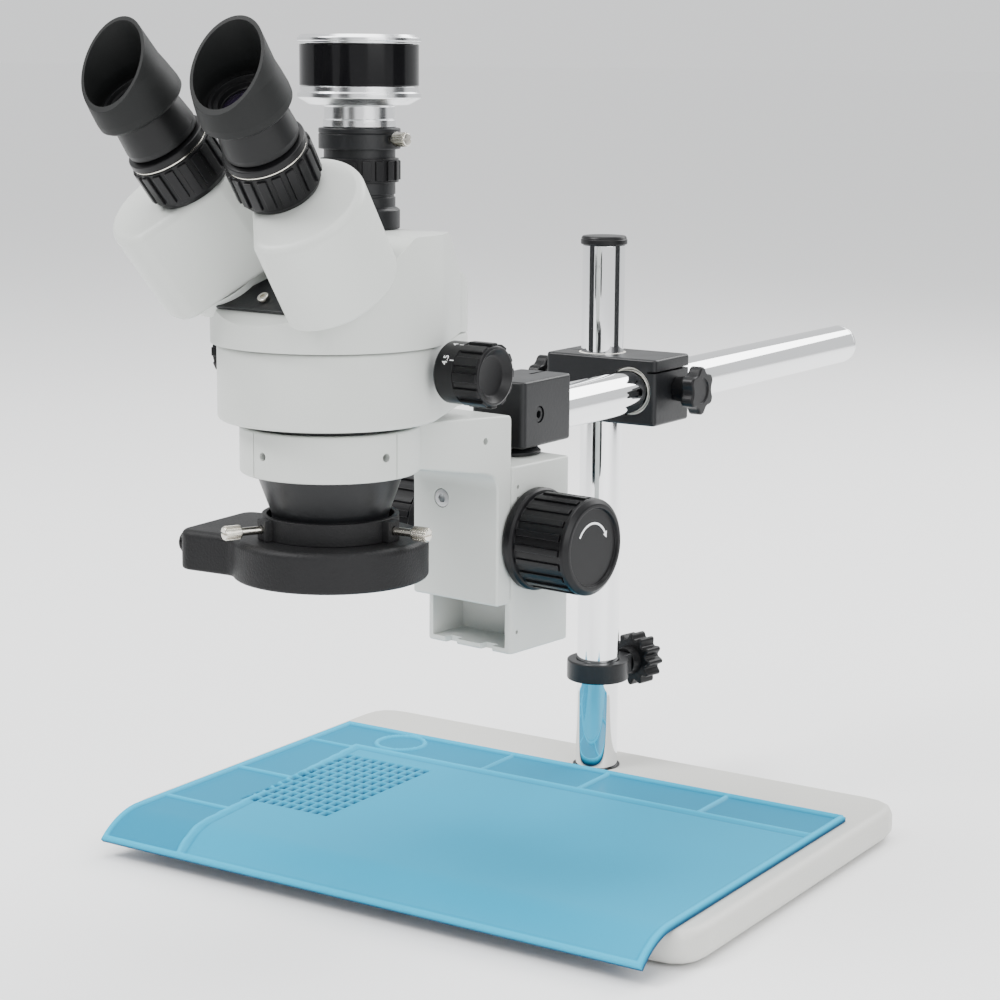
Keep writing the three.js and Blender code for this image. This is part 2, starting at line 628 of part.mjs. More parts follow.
// Plan of the head: round at the front and narrowed to a rounded back.
function headPlan(radius, back, half, corner) {
  const leave = 24 * DEG;
  const shape = new THREE.Shape();
  shape.absarc(0, 0, radius, Math.PI - leave, 2 * Math.PI + leave, false);
  shape.lineTo(half, back - corner);
  shape.quadraticCurveTo(half, back, half - corner, back);
  shape.lineTo(corner - half, back);
  shape.quadraticCurveTo(-half, back, -half, back - corner);
  shape.closePath();
  return shape;
}

function zoomBodyLower() {
  const outer = pushed(headPlan(body.radius, body.back, body.backHalf, body.corner), bodyBottom, seam, 2,
      ROUND);
  const t = body.wall;
  const inner = pushed(headPlan(body.radius - t, body.back - t, body.backHalf - t, body.corner - t),
    bodyBottom + body.floor, seam + 5, 0, ROUND);
  const floorHole = disc(noseBore + 8, bodyBottom - 1, bodyBottom + body.floor + 1, WIDE);
  const shaftHole = alongX(disc(zoomAxis.shaft + GAP, -body.radius - 5, body.radius + 5, SMALL))
    .translate(0, zoomAxis.y, zoomZ);
  return piece('zoom_body_lower', 'whitePaint', cut(outer, inner, floorHole, shaftHole));
}

const slopeZ = (y) => upperBottom + upper.front + (y + upper.radius) * Math.tan(eye.incline);
const topFrontY = (headTop - upperBottom - upper.front) / Math.tan(eye.incline) - upper.radius;

function sideProfile(inset) {
  const t = inset;
  const slope = t / Math.cos(eye.incline);
  const frontY = -upper.radius + t;
  return rounded([[frontY, upperBottom - 1 - 5 * t], [frontY, slopeZ(frontY) - slope, t > 0 ? 0 : 3],
    [topFrontY + t * 0.4, headTop - t, t > 0 ? 0 : 6], [upper.topBack, headTop - t, t > 0 ? 0 : 8],
    [body.back - t, upperBottom + upper.slopeEnd - t, t > 0 ? 0 : 8],
    [body.back - t, upperBottom - 1 - 5 * t]]);
}

// The pivot frame of one eye: z along the eyepiece's axis, x to the user's right and y up and back.
function eyeFrame(side) {
  const axis = new THREE.Vector3(side * Math.sin(eye.splay), -Math.cos(eye.splay) * Math.sin(eye.incline),
    Math.cos(eye.splay) * Math.cos(eye.incline));
  const back = new THREE.Vector3(0, 1, 0).addScaledVector(axis, -axis.y).normalize();
  const across = back.clone().cross(axis);
  const frame = new THREE.Matrix4().makeBasis(across, back, axis);
  return frame.setPosition(side * prism.x, prism.y, upperBottom + prism.z);
}

function upperHousing() {
  const reach = upper.radius + 2;
  const plan = pushed(headPlan(upper.radius, body.back, body.backHalf, body.corner), upperBottom,
      headTop + 5, 0, ROUND);
  const outer = common(plan, pushedAlongX(sideProfile(0), -reach, reach));
  const t = upper.wall;
  const innerPlan = pushed(headPlan(upper.radius - t, body.back - t, body.backHalf - t, body.corner - t),
    upperBottom - 5, headTop + 5, 0, ROUND);
  const inner = common(innerPlan, pushedAlongX(sideProfile(t), -reach, reach));
  const pads = [-1, 1].map((side) => join(disc(prismPivot.pad, -prismPivot.sink, -GAP, ROUND),
    disc(prismPivot.spigot, -1, prismPivot.spigotLength, ROUND)).applyMatrix4(eyeFrame(side)));
  const paths = [-1, 1].map((side) => disc(tube.bore - 1, -30, 20, ROUND).applyMatrix4(eyeFrame(side)));
  const portHole = disc(port.bore - 2, headTop - 20, headTop + 5, ROUND).translate(0, port.y, 0);
  const shell = cut(join(outer, ...pads), inner, ...paths, portHole);
  return piece('upper_housing', 'whitePaint', shell);
}

function headNose() {
  const neck = ring.bore - 0.2;
  const coneEnd = ringBottom - nose.coneHeight;
  const spigot = noseBore + 8 - GAP;
  const shoulder = ringTop + GAP;
  const bandTop = shoulder + nose.bandHeight;
  const top = bodyBottom + body.floor - GAP;
  return piece('head_nose', 'blackPaint', turned([[noseBore, noseBottom], [nose.lip - 0.8, noseBottom],
    [nose.lip, noseBottom + 0.8], [nose.lip, coneEnd - 1], [nose.coneBottom, coneEnd],
    [nose.coneTop, ringBottom - 0.6], [neck, ringBottom + 1], [neck, shoulder], [nose.band, shoulder],
    [nose.band, bandTop], [spigot, bandTop], [spigot, top], [noseBore, top], [noseBore, noseBottom]], WIDE));
}

function objectiveLens() {
  const bottom = noseBottom + lens.recess;
  const r = noseBore - GAP;
  return piece('objective_lens', 'glass', turned([[0, bottom - 1.5], [r * 0.5, bottom - 1.1], [r, bottom],
    [r, bottom + lens.thickness], [r * 0.5, bottom + lens.thickness + 1.1],
    [0, bottom + lens.thickness + 1.5]]));
}

function slopeFrame(up) {
  const y = -upper.radius + up * Math.cos(eye.incline);
  const frame = new THREE.Matrix4().makeRotationX(eye.incline);
  return frame.setPosition(0, y, slopeZ(y));
}

function frontPlatePiece() {
  const half = frontPlate.base / 2;
  const outline = rounded([[-half, 0, 1], [half, 0, 1], [0, frontPlate.rise, 2]]);
  const sheet = pushed(outline, GAP, GAP + frontPlate.thickness, 0.4, 3);
  const pads = [-1, 1].map((side) => disc(prismPivot.pad + GAP, -20, 5).applyMatrix4(eyeFrame(side)));
  return piece('front_plate', 'blackPaint', cut(sheet.applyMatrix4(slopeFrame(frontPlate.up)), ...pads));
}

function frontPlateScrew() {
  const seat = frontPlate.thickness + 2 * GAP;
  const screw = disc(plateScrew.radius, seat, seat + plateScrew.height, SMALL);
  const socket = disc(1.4, seat + 0.8, seat + plateScrew.height + 1, 6);
  return piece('front_plate_screw', 'steel', cut(screw, socket)
      .applyMatrix4(slopeFrame(frontPlate.up + plateScrew.up)));
}

function zoomShaft() {
  const reach = body.radius + zoomAxis.grip;
  return piece('zoom_shaft', 'steel', alongX(disc(zoomAxis.shaft, -reach, reach, SMALL)));
}

function zoomKnob(name, side) {
  const r = zoomAxis.knob;
  const length = zoomAxis.knobLength;
  const { hub, hubLength } = zoomAxis;
  const dial = turned([[0, 0], [hub, 0], [hub, hubLength], [r - 1.4, hubLength], [r - 0.6, hubLength + 1],
    [r - 0.6, length * 0.5], [0, length * 0.5]], ROUND);
  const grip = pushed(ribbed(r, zoomAxis.ribs, 1.4, 0.5), length * 0.5 - 0.5, length, 0.6);
  const dish = turned([[0, length - 4.5], [r - 6, length - 3.6], [r - 2, length], [0, length]], ROUND);
  const bore = disc(zoomAxis.shaft + GAP, -1, zoomAxis.grip, SMALL);
  const knob = piece(name, 'blackPlastic', cut(join(dial, grip), dish, bore));
  knob.rotation.y = (side * Math.PI) / 2;
  knob.position.x = side * (body.radius + zoomAxis.standOff);
  return knob;
}

function zoomLensCarriage() {
  const { halfX, halfY, y, thickness } = carriage;
  const slab = roundedBox([-halfX, halfX], [y - halfY, y + halfY], [0, thickness], 6, 1);
  const ear = roundedBox([-carriage.ear, carriage.ear], [rod.y - carriage.ear, y - halfY + 2],
      [0, thickness], 3, 1);
  const holes = [-1, 1].map((side) => disc(carriage.lensRadius, -1, thickness + 1, ROUND)
      .translate(side * carriage.lensX, y, 0));
  const guide = disc(rod.radius + GAP, -1, thickness + 1, SMALL).translate(0, rod.y, 0);
  return piece('zoom_lens_carriage', 'aluminium', cut(join(slab, ear), ...holes, guide));
}

function guideRod() {
  const bottom = bodyBottom + body.floor + GAP;
  return piece('guide_rod', 'steel', disc(rod.radius, bottom, slopeZ(rod.y) - 6, SMALL)
      .translate(0, rod.y, 0));
}

function portTube() {
  const base = headTop + GAP;
  const clampFrom = base + port.height - port.clampHeight;
  const top = base + port.height;
  const outer = portRing.radius;
  const profile = [[port.bore, base], [port.flange, base], [port.flange, base + port.flangeHeight - 1],
    [port.flange - 1, base + port.flangeHeight], [port.radius, base + port.flangeHeight],
    [port.radius, clampFrom], [outer - 0.8, clampFrom], [outer, clampFrom + 0.8], [outer, top - 0.8],
    [outer - 0.8, top], [port.bore, top], [port.bore, base]];
  const thumbHole = alongX(disc(thumb.shank + GAP, port.bore - 1, outer + 1, SMALL))
      .translate(0, 0, top - port.clampHeight / 2);
  return piece('port_tube', 'blackPaint', cut(turned(profile), thumbHole).translate(0, port.y, 0));
}

function portFocusRing() {
  const bottom = headTop + portRing.above;
  const grip = pushed(ribbed(portRing.radius, portRing.ribs, 1.2, 0.5), bottom, bottom + portRing.height,
      0.5);
  const bore = disc(port.radius + GAP, bottom - 1, bottom + portRing.height + 1);
  return piece('port_focus_ring', 'blackPlastic', cut(grip, bore));
}

// A thumb screw about +Z: the tip is at z = 0 and the knurled head is at the far end.
function thumbScrew(name, size) {
  const shank = disc(size.shank, 0, size.length - size.headLength + 1, SMALL);
  const head = pushed(ribbed(size.head, 12, 0.6), size.length - size.headLength, size.length);
  return piece(name, 'nickel', join(shank, head));
}

function adapterThumbScrew() {
  const screw = thumbScrew('adapter_thumb_screw', thumb);
  const z = headTop + GAP + port.height - port.clampHeight / 2;
  screw.rotation.y = Math.PI / 2;
  screw.position.x = port.bore + 1;
  return assembly([screw], 0, port.y, z);
}

function cameraGroup() {
  const seat = headTop + port.height + 2 * GAP;
  const top = seat + adapter.height;
  const neck = turned([[adapter.bore, seat - 16], [adapter.insert, seat - 16], [adapter.insert, seat],
    [adapter.radius, seat], [adapter.radius, top], [adapter.bore, top], [adapter.bore, seat - 16]]);
  const base = top + GAP;
  const e = camera.edge;
  const r = camera.radius;
  const can = turned([[0, base], [r - e, base], [r, base + e], [r, base + camera.height - e],
    [r - e, base + camera.height], [0, base + camera.height]], WIDE);
  const recess = disc(camera.recess, base - 1, base + camera.recessDepth, ROUND);
  const sockets = block([-14, 14], [r - 4, r + 4], [base + 13, base + 23]);
  return assembly([piece('camera_adapter', 'aluminium', neck),
      piece('camera_body', 'blackPlastic', cut(can, recess, sockets))],
    0, port.y, 0);
}

// ---------------------------------------------------------------------------------------------------
// One eye: prism housing, diopter ring, eyepiece and eyecup, in the eye frame
// ---------------------------------------------------------------------------------------------------

// D-shaped outline: a circle cut by a flat that faces forward and inward.
function prismPlan(side, radius, flat) {
  const open = Math.acos(flat / radius);
  const facing = Math.PI + prism.flatTurn;
  const shape = new THREE.Shape();
  const steps = 30;
  const corner = 0.16;
  const points = [];
  for (let i = 0; i <= steps; i += 1) {
    const turn = facing + open + corner + ((2 * Math.PI - 2 * open - 2 * corner) * i) / steps;
    points.push([side * radius * Math.cos(turn), radius * Math.sin(turn)]);
  }
  for (const along of [1, -1]) {
    const half = Math.sqrt(radius * radius - flat * flat) - 4;
    const x = flat * Math.cos(facing) + along * half * Math.sin(facing);
    const y = flat * Math.sin(facing) - along * half * Math.cos(facing);
    points.push([side * x, y]);
  }
  points.forEach(([x, y], i) => (i === 0 ? shape.moveTo(x, y) : shape.lineTo(x, y)));
  shape.closePath();
  return shape;
}

function prismHousing(name, side) {
  const t = prism.wall;
  const outer = pushed(prismPlan(side, prism.radius, prism.flat), 0, prism.length, 2.5);
  const inner = pushed(prismPlan(side, prism.radius - t, prism.flat - t), t, prism.length - t);
  const pivotHole = disc(prismPivot.spigot + GAP, -1, t + 1, ROUND);
  const stub = disc(tube.radius, prism.length - 1, prism.length + tube.length, ROUND)
      .translate(-side * tube.offset, tube.back, 0);
  const bore = disc(tube.bore, prism.length - t - 1, prism.length + tube.length + 1, ROUND)
    .translate(-side * tube.offset, tube.back, 0);
  return piece(name, 'whitePaint', cut(join(outer, stub), inner, pivotHole, bore));
}

function diopterRing(name) {
  const inner = tube.radius + GAP;
  const r = diopter.radius;
  const length = diopter.length;
  const sleeveBody = turned([[inner, 0], [r - 2.2, 0], [r - 0.6, 3], [r - 0.6, length - 5],
    [r - 1.8, length - 3], [r - 1.8, length], [inner, length], [inner, 0]]);
  const ribs = cut(pushed(ribbed(r, diopter.ribs, 1, 0.6), 5, length - 5, 0.3), disc(inner + 2, 0, length));
  return piece(name, 'blackPlastic', join(sleeveBody, ribs));
}

function eyepiece(name) {
  const from = diopter.length + 2 * GAP;
  const inTube = tube.bore - GAP;
  const shoulder = from + barrel.length;
  const top = shoulder + barrel.neckLength;
  const narrow = barrel.bore - 1.5;
  return piece(name, 'blackPlastic', turned([[narrow, 4], [inTube, 4], [inTube, from], [barrel.radius, from],
    [barrel.radius + 0.3, from + 3], [barrel.top, shoulder], [barrel.neck, shoulder], [barrel.neck, top],
    [barrel.bore, top], [narrow, from + 4], [narrow, 4]]));
}

function eyecupPiece(name) {
  const t = eyecup.wall;
  const tall = eyecup.length + eyecup.horn;
  const mouth = eyecup.rim - 2;
  const inner = barrel.neck + GAP;
  const cup = turned([[inner, 0], [eyecup.base - 1.5, 0], [eyecup.base, 2], [eyecup.base, 8],
    [eyecup.rim, eyecup.length], [mouth, tall + 2], [mouth - t, tall + 2], [eyecup.rim - t, eyecup.length],
    [eyecup.base - t - 0.5, 8], [inner, eyecup.floor], [inner, 0]]);
  const slope = Math.atan(eyecup.horn / (2 * eyecup.rim));
  const size = 4 * eyecup.base;
  const lid = block([-size, size], [-size, size], [0, size]).rotateX(slope)
    .translate(0, 0, eyecup.length + eyecup.horn / 2);
  return piece(name, 'rubber', cut(cup, lid));
}

function eyeAssembly(side, label) {
  const seat = prism.length + GAP;
  const stack = assembly([diopterRing(`diopter_ring_${label}`), eyepiece(`eyepiece_${label}`)],
    -side * tube.offset, tube.back, seat);
  const cupSeat = seat + diopter.length + 3 * GAP + barrel.length;
  const cup = assembly([eyecupPiece(`eyecup_${label}`)], -side * tube.offset, tube.back, cupSeat);
  const group = assembly([prismHousing(`prism_housing_${label}`, side), stack, cup]);
  group.applyMatrix4(eyeFrame(side));
  return group;
}

// ---------------------------------------------------------------------------------------------------
// Ring light on the nose
// ---------------------------------------------------------------------------------------------------

const lightBottom = lightTop - light.collarHeight - light.height;

function ringLightBody() {
  const shoulder = lightBottom + light.height;
  const round = pushed(new THREE.Shape().absarc(0, 0, light.radius, 0, 2 * Math.PI), lightBottom, shoulder,
      3, ROUND);
  const tray = roundedBox([-light.box, 0], [-light.boxHalf, light.boxHalf], [lightBottom, shoulder], 8, 3);
  const hoop = disc(light.collar, shoulder - 1, lightTop);
  const bore = disc(light.bore, lightBottom - 1, lightTop + 1);
  const hole = () => alongX(disc(lightScrew.shank + GAP, light.bore - 1, light.collar + 1, SMALL));
  const screwHoles = screwTurns().map((turn) => hole()
      .translate(0, 0, lightTop - light.collarHeight / 2).rotateZ(turn));
  const channel = sleeve(ledRing.inner - GAP, ledRing.outer + GAP, lightBottom - 1,
    lightBottom + ledRing.recess + ledRing.depth + GAP);
  const power = alongMinusX(disc(4, light.box - 8, light.box + 1, SMALL))
      .translate(0, 12, lightBottom + light.height / 2);
  const dimmerHole = alongMinusX(disc(3 + GAP, light.box - 8, light.box + 1, SMALL))
    .translate(0, dimmer.y, lightBottom + light.height / 2);
  return piece('ring_light', 'blackPlastic', cut(join(round, tray, hoop), bore, ...screwHoles, channel,
      power, dimmerHole));
}

function ledRingPiece() {
  const from = lightBottom + ledRing.recess;
  return piece('led_ring', 'diffuser', sleeve(ledRing.inner, ledRing.outer, from, from + ledRing.depth));
}

function screwTurns() {
  return Array.from({ length: lightScrew.count }, (_, i) => (i / lightScrew.count) * 2 * Math.PI);
}

function lightScrews() {
  return screwTurns().map((turn, i) => {
    const screw = thumbScrew(`light_screw_${i + 1}`, lightScrew);
    screw.rotation.y = Math.PI / 2;
    screw.position.x = nose.lip + 1;
    const group = assembly([screw], 0, 0, lightTop - light.collarHeight / 2);
    group.rotation.z = turn;
    return group;
  });
}

function dimmerKnob() {
  const head = pushed(ribbed(dimmer.radius, 16, 0.6), GAP, dimmer.length, 0.6);
  const shaft = disc(3, -6, GAP + 1, SMALL);
  const knob = piece('light_dimmer_knob', 'blackPlastic', join(head, shaft));
  knob.rotation.y = -Math.PI / 2;
  knob.position.set(-light.box, dimmer.y, lightBottom + light.height / 2);
  return knob;
}

function ringLight() {
  const group = assembly([ringLightBody(), ledRingPiece(), ...lightScrews(), dimmerKnob()]);
  group.rotation.z = light.turn;
  return group;
}

// ---------------------------------------------------------------------------------------------------
// The whole microscope
// ---------------------------------------------------------------------------------------------------

function zoomHead() {
  const zoomDrive = assembly([zoomShaft(), zoomKnob('zoom_knob_right', 1), zoomKnob('zoom_knob_left', -1)],
    0, zoomAxis.y, zoomZ);
  const lensSlide = assembly([zoomLensCarriage()], 0, 0, seam - 6);
  const portGrip = assembly([portFocusRing()], 0, port.y, 0);
  const head = assembly([zoomBodyLower(), upperHousing(), headNose(), objectiveLens(), frontPlatePiece(),
    frontPlateScrew(), guideRod(), portTube(), portGrip, adapterThumbScrew(), cameraGroup(), zoomDrive,
    lensSlide, eyeAssembly(1, 'right'), eyeAssembly(-1, 'left'), ringLight()], 0, -ring.reach, 0);
  head.rotation.z = 2 * DEG;
  return head;
}

function focusRack() {
  const knobs = [focusKnobPiece('focus_knob_right', 1), focusKnobPiece('focus_knob_left', -1)];
  const drive = assembly([pinionShaft(), ...knobs], 0, pinionY, pinionZ);
  const group = assembly([stemPost(), rackHousing(), drive, holderArm(), dovetailSlide(), gearRackPiece(),
    wallScrewPiece(), zoomHead()], boomX, -boom.reach, 0);
  group.rotation.z = rack.turn;
  return group;
}

const microscope = new THREE.Group();
microscope.name = 'stereo_microscope';
microscope.add(basePlate(), ...rubberFeet(), siliconeMat(), pillarTube(), pillarPlug(), pillarBolt(),
  pillarCap(), stopAssembly(), pillarLiner(), clampBlock(), pillarClampKnob(), boomLiner(), boomClampKnob(),
  boomTube(), boomEndPlug(), endBracket(), bracketScrewPiece(), focusRack());

microscope.updateMatrixWorld(true);
const box = new THREE.Box3().setFromObject(microscope, true);
microscope.position.set(-(box.min.x + box.max.x) / 2, -(box.min.y + box.max.y) / 2, -box.min.z);
microscope.updateMatrixWorld(true);

export default microscope;
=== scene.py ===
# A trinocular stereo zoom microscope on a boom stand. Shapes are drawn in millimetres in the frame of the
# sub-assembly that they belong to, and put in their place in metres when they are finished.

import json
import math

import bmesh
import bpy
from mathutils import Matrix, Vector

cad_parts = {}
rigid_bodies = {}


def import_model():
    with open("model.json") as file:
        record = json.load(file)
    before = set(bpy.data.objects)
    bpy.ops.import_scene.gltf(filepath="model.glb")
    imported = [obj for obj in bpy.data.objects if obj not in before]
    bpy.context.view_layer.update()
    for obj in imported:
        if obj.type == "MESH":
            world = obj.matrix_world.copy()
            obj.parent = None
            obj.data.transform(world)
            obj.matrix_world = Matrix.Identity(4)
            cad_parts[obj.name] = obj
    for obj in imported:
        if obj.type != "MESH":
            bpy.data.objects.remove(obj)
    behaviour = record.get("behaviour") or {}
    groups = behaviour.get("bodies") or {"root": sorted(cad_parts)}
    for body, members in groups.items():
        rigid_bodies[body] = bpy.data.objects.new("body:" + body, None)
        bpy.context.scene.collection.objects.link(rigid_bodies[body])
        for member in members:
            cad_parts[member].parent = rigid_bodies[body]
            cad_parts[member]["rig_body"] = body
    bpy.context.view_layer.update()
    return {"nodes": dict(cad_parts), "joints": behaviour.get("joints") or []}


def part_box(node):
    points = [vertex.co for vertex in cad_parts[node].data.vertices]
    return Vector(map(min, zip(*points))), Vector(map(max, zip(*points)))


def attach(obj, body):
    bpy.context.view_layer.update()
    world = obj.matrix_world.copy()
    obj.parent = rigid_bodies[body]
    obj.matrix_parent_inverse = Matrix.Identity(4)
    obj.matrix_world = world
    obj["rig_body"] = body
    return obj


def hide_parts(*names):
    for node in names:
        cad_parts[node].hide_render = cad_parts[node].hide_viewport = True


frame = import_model()

MM = 0.001
UP = Vector((0, 0, 1))
ROUND = 96                                  # steps of a turned piece
GAP = 0.3
JOINTS = {joint["name"]: joint for joint in frame["joints"]}
scene = bpy.context.scene


# ------------------------------------------------------------------------------------------------
# Places
# ------------------------------------------------------------------------------------------------

def axis_of(joint):
    return Vector(JOINTS[joint]["axis"]).normalized()


def pivot_of(joint):
    return Vector(JOINTS[joint]["pos_m"]) / MM


def low(node):
    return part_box(node)[0] / MM


def high(node):
    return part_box(node)[1] / MM


def middle(node):
    return (low(node) + high(node)) / 2


def place_of(origin, y, z=UP):
    """A frame at origin with its z axis along z and its y axis as near to y as it can be."""
    z = z.normalized()
    y = (y - z * y.dot(z)).normalized()
    place = Matrix((y.cross(z), y, z)).transposed().to_4x4()
    place.translation = origin
    return place


def on_floor(point):
    return Vector((point.x, point.y, 0))


def shift(x=0, y=0, z=0):
    return Matrix.Translation((x, y, z))


def turn(degrees, axis="Z"):
    return Matrix.Rotation(math.radians(degrees), 4, axis)


TO_X = turn(90, "Y")                        # turn a shape made about z so that it points along x, -x or y
TO_MINUS_X = turn(-90, "Y")
TO_Y = turn(-90, "X")

STAND = shift(middle("pillar_tube").x, middle("pillar_tube").y)
BOOM_X = middle("boom_tube").x
BOOM_Z = middle("boom_tube").z
RACK = place_of(on_floor(pivot_of("rack_swivel")), UP.cross(axis_of("focus_turn")))
HEAD = place_of(on_floor(pivot_of("head_turn")), UP.cross(axis_of("zoom_turn")))
LIGHT = place_of(on_floor(pivot_of("light_turn")), UP.cross(axis_of("light_screw_1_turn")))
STOP = place_of(on_floor(middle("pillar_tube")) + UP * low("stop_collar").z, axis_of("collar_knob_turn"))
HEAD_BACK = HEAD.to_3x3() @ Vector((0, 1, 0))
SIDES = {"right": 1, "left": -1}


def eye_place(side):
    return place_of(pivot_of(side + "_eye_swing"), HEAD_BACK, axis_of(side + "_eye_swing"))


# ------------------------------------------------------------------------------------------------
# Camera, floor and light
# ------------------------------------------------------------------------------------------------

def add_camera():
    """The camera stands to the user's right and a little above the head, with a long lens."""
    swing, tilt, roll = math.radians(32.62), math.radians(10.52), math.radians(0.417)
    back = Vector((math.sin(swing) * math.cos(tilt), -math.cos(swing) * math.cos(tilt), math.sin(tilt)))
    right = (-back).cross(UP).normalized()
    up = right.cross(-back)
    across = right * math.cos(roll) + up * math.sin(roll)
    upright = up * math.cos(roll) - right * math.sin(roll)
    data = bpy.data.cameras.new("camera")
    data.sensor_width = 36
    data.lens = 85
    camera = bpy.data.objects.new("camera", data)
    place = Matrix((across, upright, back)).transposed().to_4x4()
    place.translation = (STAND @ Vector((693.3, -1193.7, 438.4))) * MM
    camera.matrix_world = place
    scene.collection.objects.link(camera)
    scene.camera = camera


def add_light(name, spot, aim, size, power, tint=(1, 1, 1)):
    data = bpy.data.lights.new(name, "AREA")
    data.size = size
    data.energy = power
    data.color = tint
    lamp = bpy.data.objects.new(name, data)
    lamp.matrix_world = place_of(Vector(spot), UP, Vector(spot) - Vector(aim))
    scene.collection.objects.link(lamp)


def add_studio():
    add_light("key_light", (-1.1, -1.5, 1.9), (0, 0, 0.2), 1.1, 85)
    add_light("fill_light", (1.9, -0.9, 1.1), (0, 0, 0.25), 1.3, 26)
    add_light("back_light", (0.5, 1.8, 1.6), (0, 0, 0.2), 1.4, 40)
    add_light("top_light", (0, -0.2, 2.2), (0, 0, 0), 1.6, 36)
    world = bpy.data.worlds.new("studio")
    world.use_nodes = True
    world.node_tree.nodes["Background"].inputs["Color"].default_value = (0.98, 0.99, 1, 1)
    world.node_tree.nodes["Background"].inputs["Strength"].default_value = 1.1
    scene.world = world
    bm = bmesh.new()
    bmesh.ops.create_grid(bm, x_segments=1, y_segments=1, size=150)
    floor = shape(bm)
    floor.name = "studio_floor"
    floor.data.materials.append(FINISH["floor"][0])
    for number, angle in enumerate((-38, 112), 1):
        panel = moved(block((-0.42, 0.42), (-0.01, 0.01), (0, 1.3)), turn(angle) @ shift(0, -1.5))
        panel.name = f"dark_panel_{number}"
        panel.data.materials.append(FINISH["black_paint"][0])


# ------------------------------------------------------------------------------------------------
# Shapes, in millimetres
# ------------------------------------------------------------------------------------------------

def shape(bm, tidy=True):
    """A new object from mesh data, with its doubles merged and its faces turned outwards."""
    if tidy:
        bmesh.ops.remove_doubles(bm, verts=bm.verts, dist=1e-4)
        bmesh.ops.recalc_face_normals(bm, faces=bm.faces)
    mesh = bpy.data.meshes.new("shape")
    bm.to_mesh(mesh)
    bm.free()
    made = bpy.data.objects.new("shape", mesh)
    scene.collection.objects.link(made)
    return made


def baked(item):
    """Turns what the modifiers make into a plain mesh and takes the modifiers off."""
    mesh = bpy.data.meshes.new_from_object(item.evaluated_get(bpy.context.evaluated_depsgraph_get()))
    item.modifiers.clear()
    item.data = mesh
    return item


def moved(item, place):
    item.data.transform(place)
    return item


def eased(points, ease, closed):
    """Rounds the corners of a line of (a, b) or (a, b, own radius) points."""
    steps = 4
    line = []
    count = len(points)
    for i, point in enumerate(points):
        here = Vector(point[:2])
        radius = point[2] if len(point) > 2 else ease
        if radius <= 0 or (not closed and i in (0, count - 1)):
            line.append(here)
            continue
        before = Vector(points[i - 1][:2]) - here
        after = Vector(points[(i + 1) % count][:2]) - here
        bend = math.pi - before.angle(after)
        reach = min(radius * math.tan(bend / 2), before.length * 0.45, after.length * 0.45)
        start = here + before.normalized() * reach
        end = here + after.normalized() * reach
        if bend < math.radians(2):
            line.append(here)
            continue
        for k in range(steps + 1):
            t = k / steps
            line.append(start * (1 - t) ** 2 + here * 2 * t * (1 - t) + end * t ** 2)
    return line


def turned(points, ease=0.4, steps=ROUND):
    """A piece turned about z from (radius, height) points. One that starts off the axis is a closed hoop."""
    hoop = points[0][0] > 0
    line = eased(points, ease, hoop)
    bm = bmesh.new()
    rings = []
    for radius, height in line:
        if radius < 1e-6:
            rings.append([bm.verts.new((0, 0, height))] * steps)
        else:
            angles = [2 * math.pi * i / steps for i in range(steps)]
            rings.append([bm.verts.new((radius * math.cos(a), radius * math.sin(a), height)) for a in angles])
    pairs = list(zip(rings, rings[1:]))
    if hoop:
        pairs.append((rings[-1], rings[0]))
    for one, other in pairs:
        for i in range(steps):
            j = (i + 1) % steps
            corners = list(dict.fromkeys([one[i], one[j], other[j], other[i]]))
            if len(corners) > 2:
                bm.faces.new(corners)
    return shape(bm)


def rod(radius, start, end, ease=0.2, steps=48):
    return turned([(0, start), (radius, start), (radius, end), (0, end)], ease, steps)


def hoop(inner, outer, start, end, ease=0.3):
    return turned([(inner, start), (outer, start), (outer, end), (inner, end)], ease)


def pushed(outline, start, end):
    """A flat outline of (x, y) points pushed along z."""
    bm = bmesh.new()
    floor = [bm.verts.new((x, y, start)) for x, y in outline]
    roof = [bm.verts.new((x, y, end)) for x, y in outline]
    bm.faces.new(floor)
    bm.faces.new(roof)
    for i in range(len(outline)):
        j = (i + 1) % len(outline)
        bm.faces.new((floor[i], floor[j], roof[j], roof[i]))
    return shape(bm)


def lofted(plan, start, end, soft_start, soft_end):
    """Pushes an outline along z with rounded rims. plan(inset) is the outline moved inwards by inset."""
    steps = 6
    quarter = [math.pi / 2 * k / steps for k in range(steps + 1)]
    layers = [(soft_start * (1 - math.sin(a)), start + soft_start * (1 - math.cos(a))) for a in quarter]
    layers += [(soft_end * (1 - math.cos(a)), end - soft_end * (1 - math.sin(a))) for a in quarter]
    bm = bmesh.new()
    rings = [[bm.verts.new((x, y, z)) for x, y in plan(inset)] for inset, z in layers]
    for one, other in zip(rings, rings[1:]):
        for i in range(len(one)):
            j = (i + 1) % len(one)
            bm.faces.new((one[i], one[j], other[j], other[i]))
    bm.faces.new(rings[0])
    bm.faces.new(rings[-1])
    return shape(bm)


def arc(centre, radius, first, last, steps):
    """Points on an arc, from one angle to another in degrees."""
    angles = [math.radians(first + (last - first) * i / steps) for i in range(steps + 1)]
    return [(centre[0] + radius * math.cos(a), centre[1] + radius * math.sin(a)) for a in angles]


def pushed_along_x(outline, start, end):
    """An outline of (y, z) points pushed along x."""
    return moved(pushed(outline, start, end), Matrix(((0, 0, 1, 0), (1, 0, 0, 0), (0, 1, 0, 0), (0, 0, 0, 1))))


def block(x, y, z, corner=0):
    outline = eased([(x[0], y[0]), (x[1], y[0]), (x[1], y[1]), (x[0], y[1])], corner, True)
    return pushed(outline, z[0], z[1])


def bevelled(item, width, segments=3, angle=35):
    bevel = item.modifiers.new("bevel", "BEVEL")
    bevel.width = width
    bevel.segments = segments
    bevel.limit_method = "ANGLE"
    bevel.angle_limit = math.radians(angle)
    return baked(item)


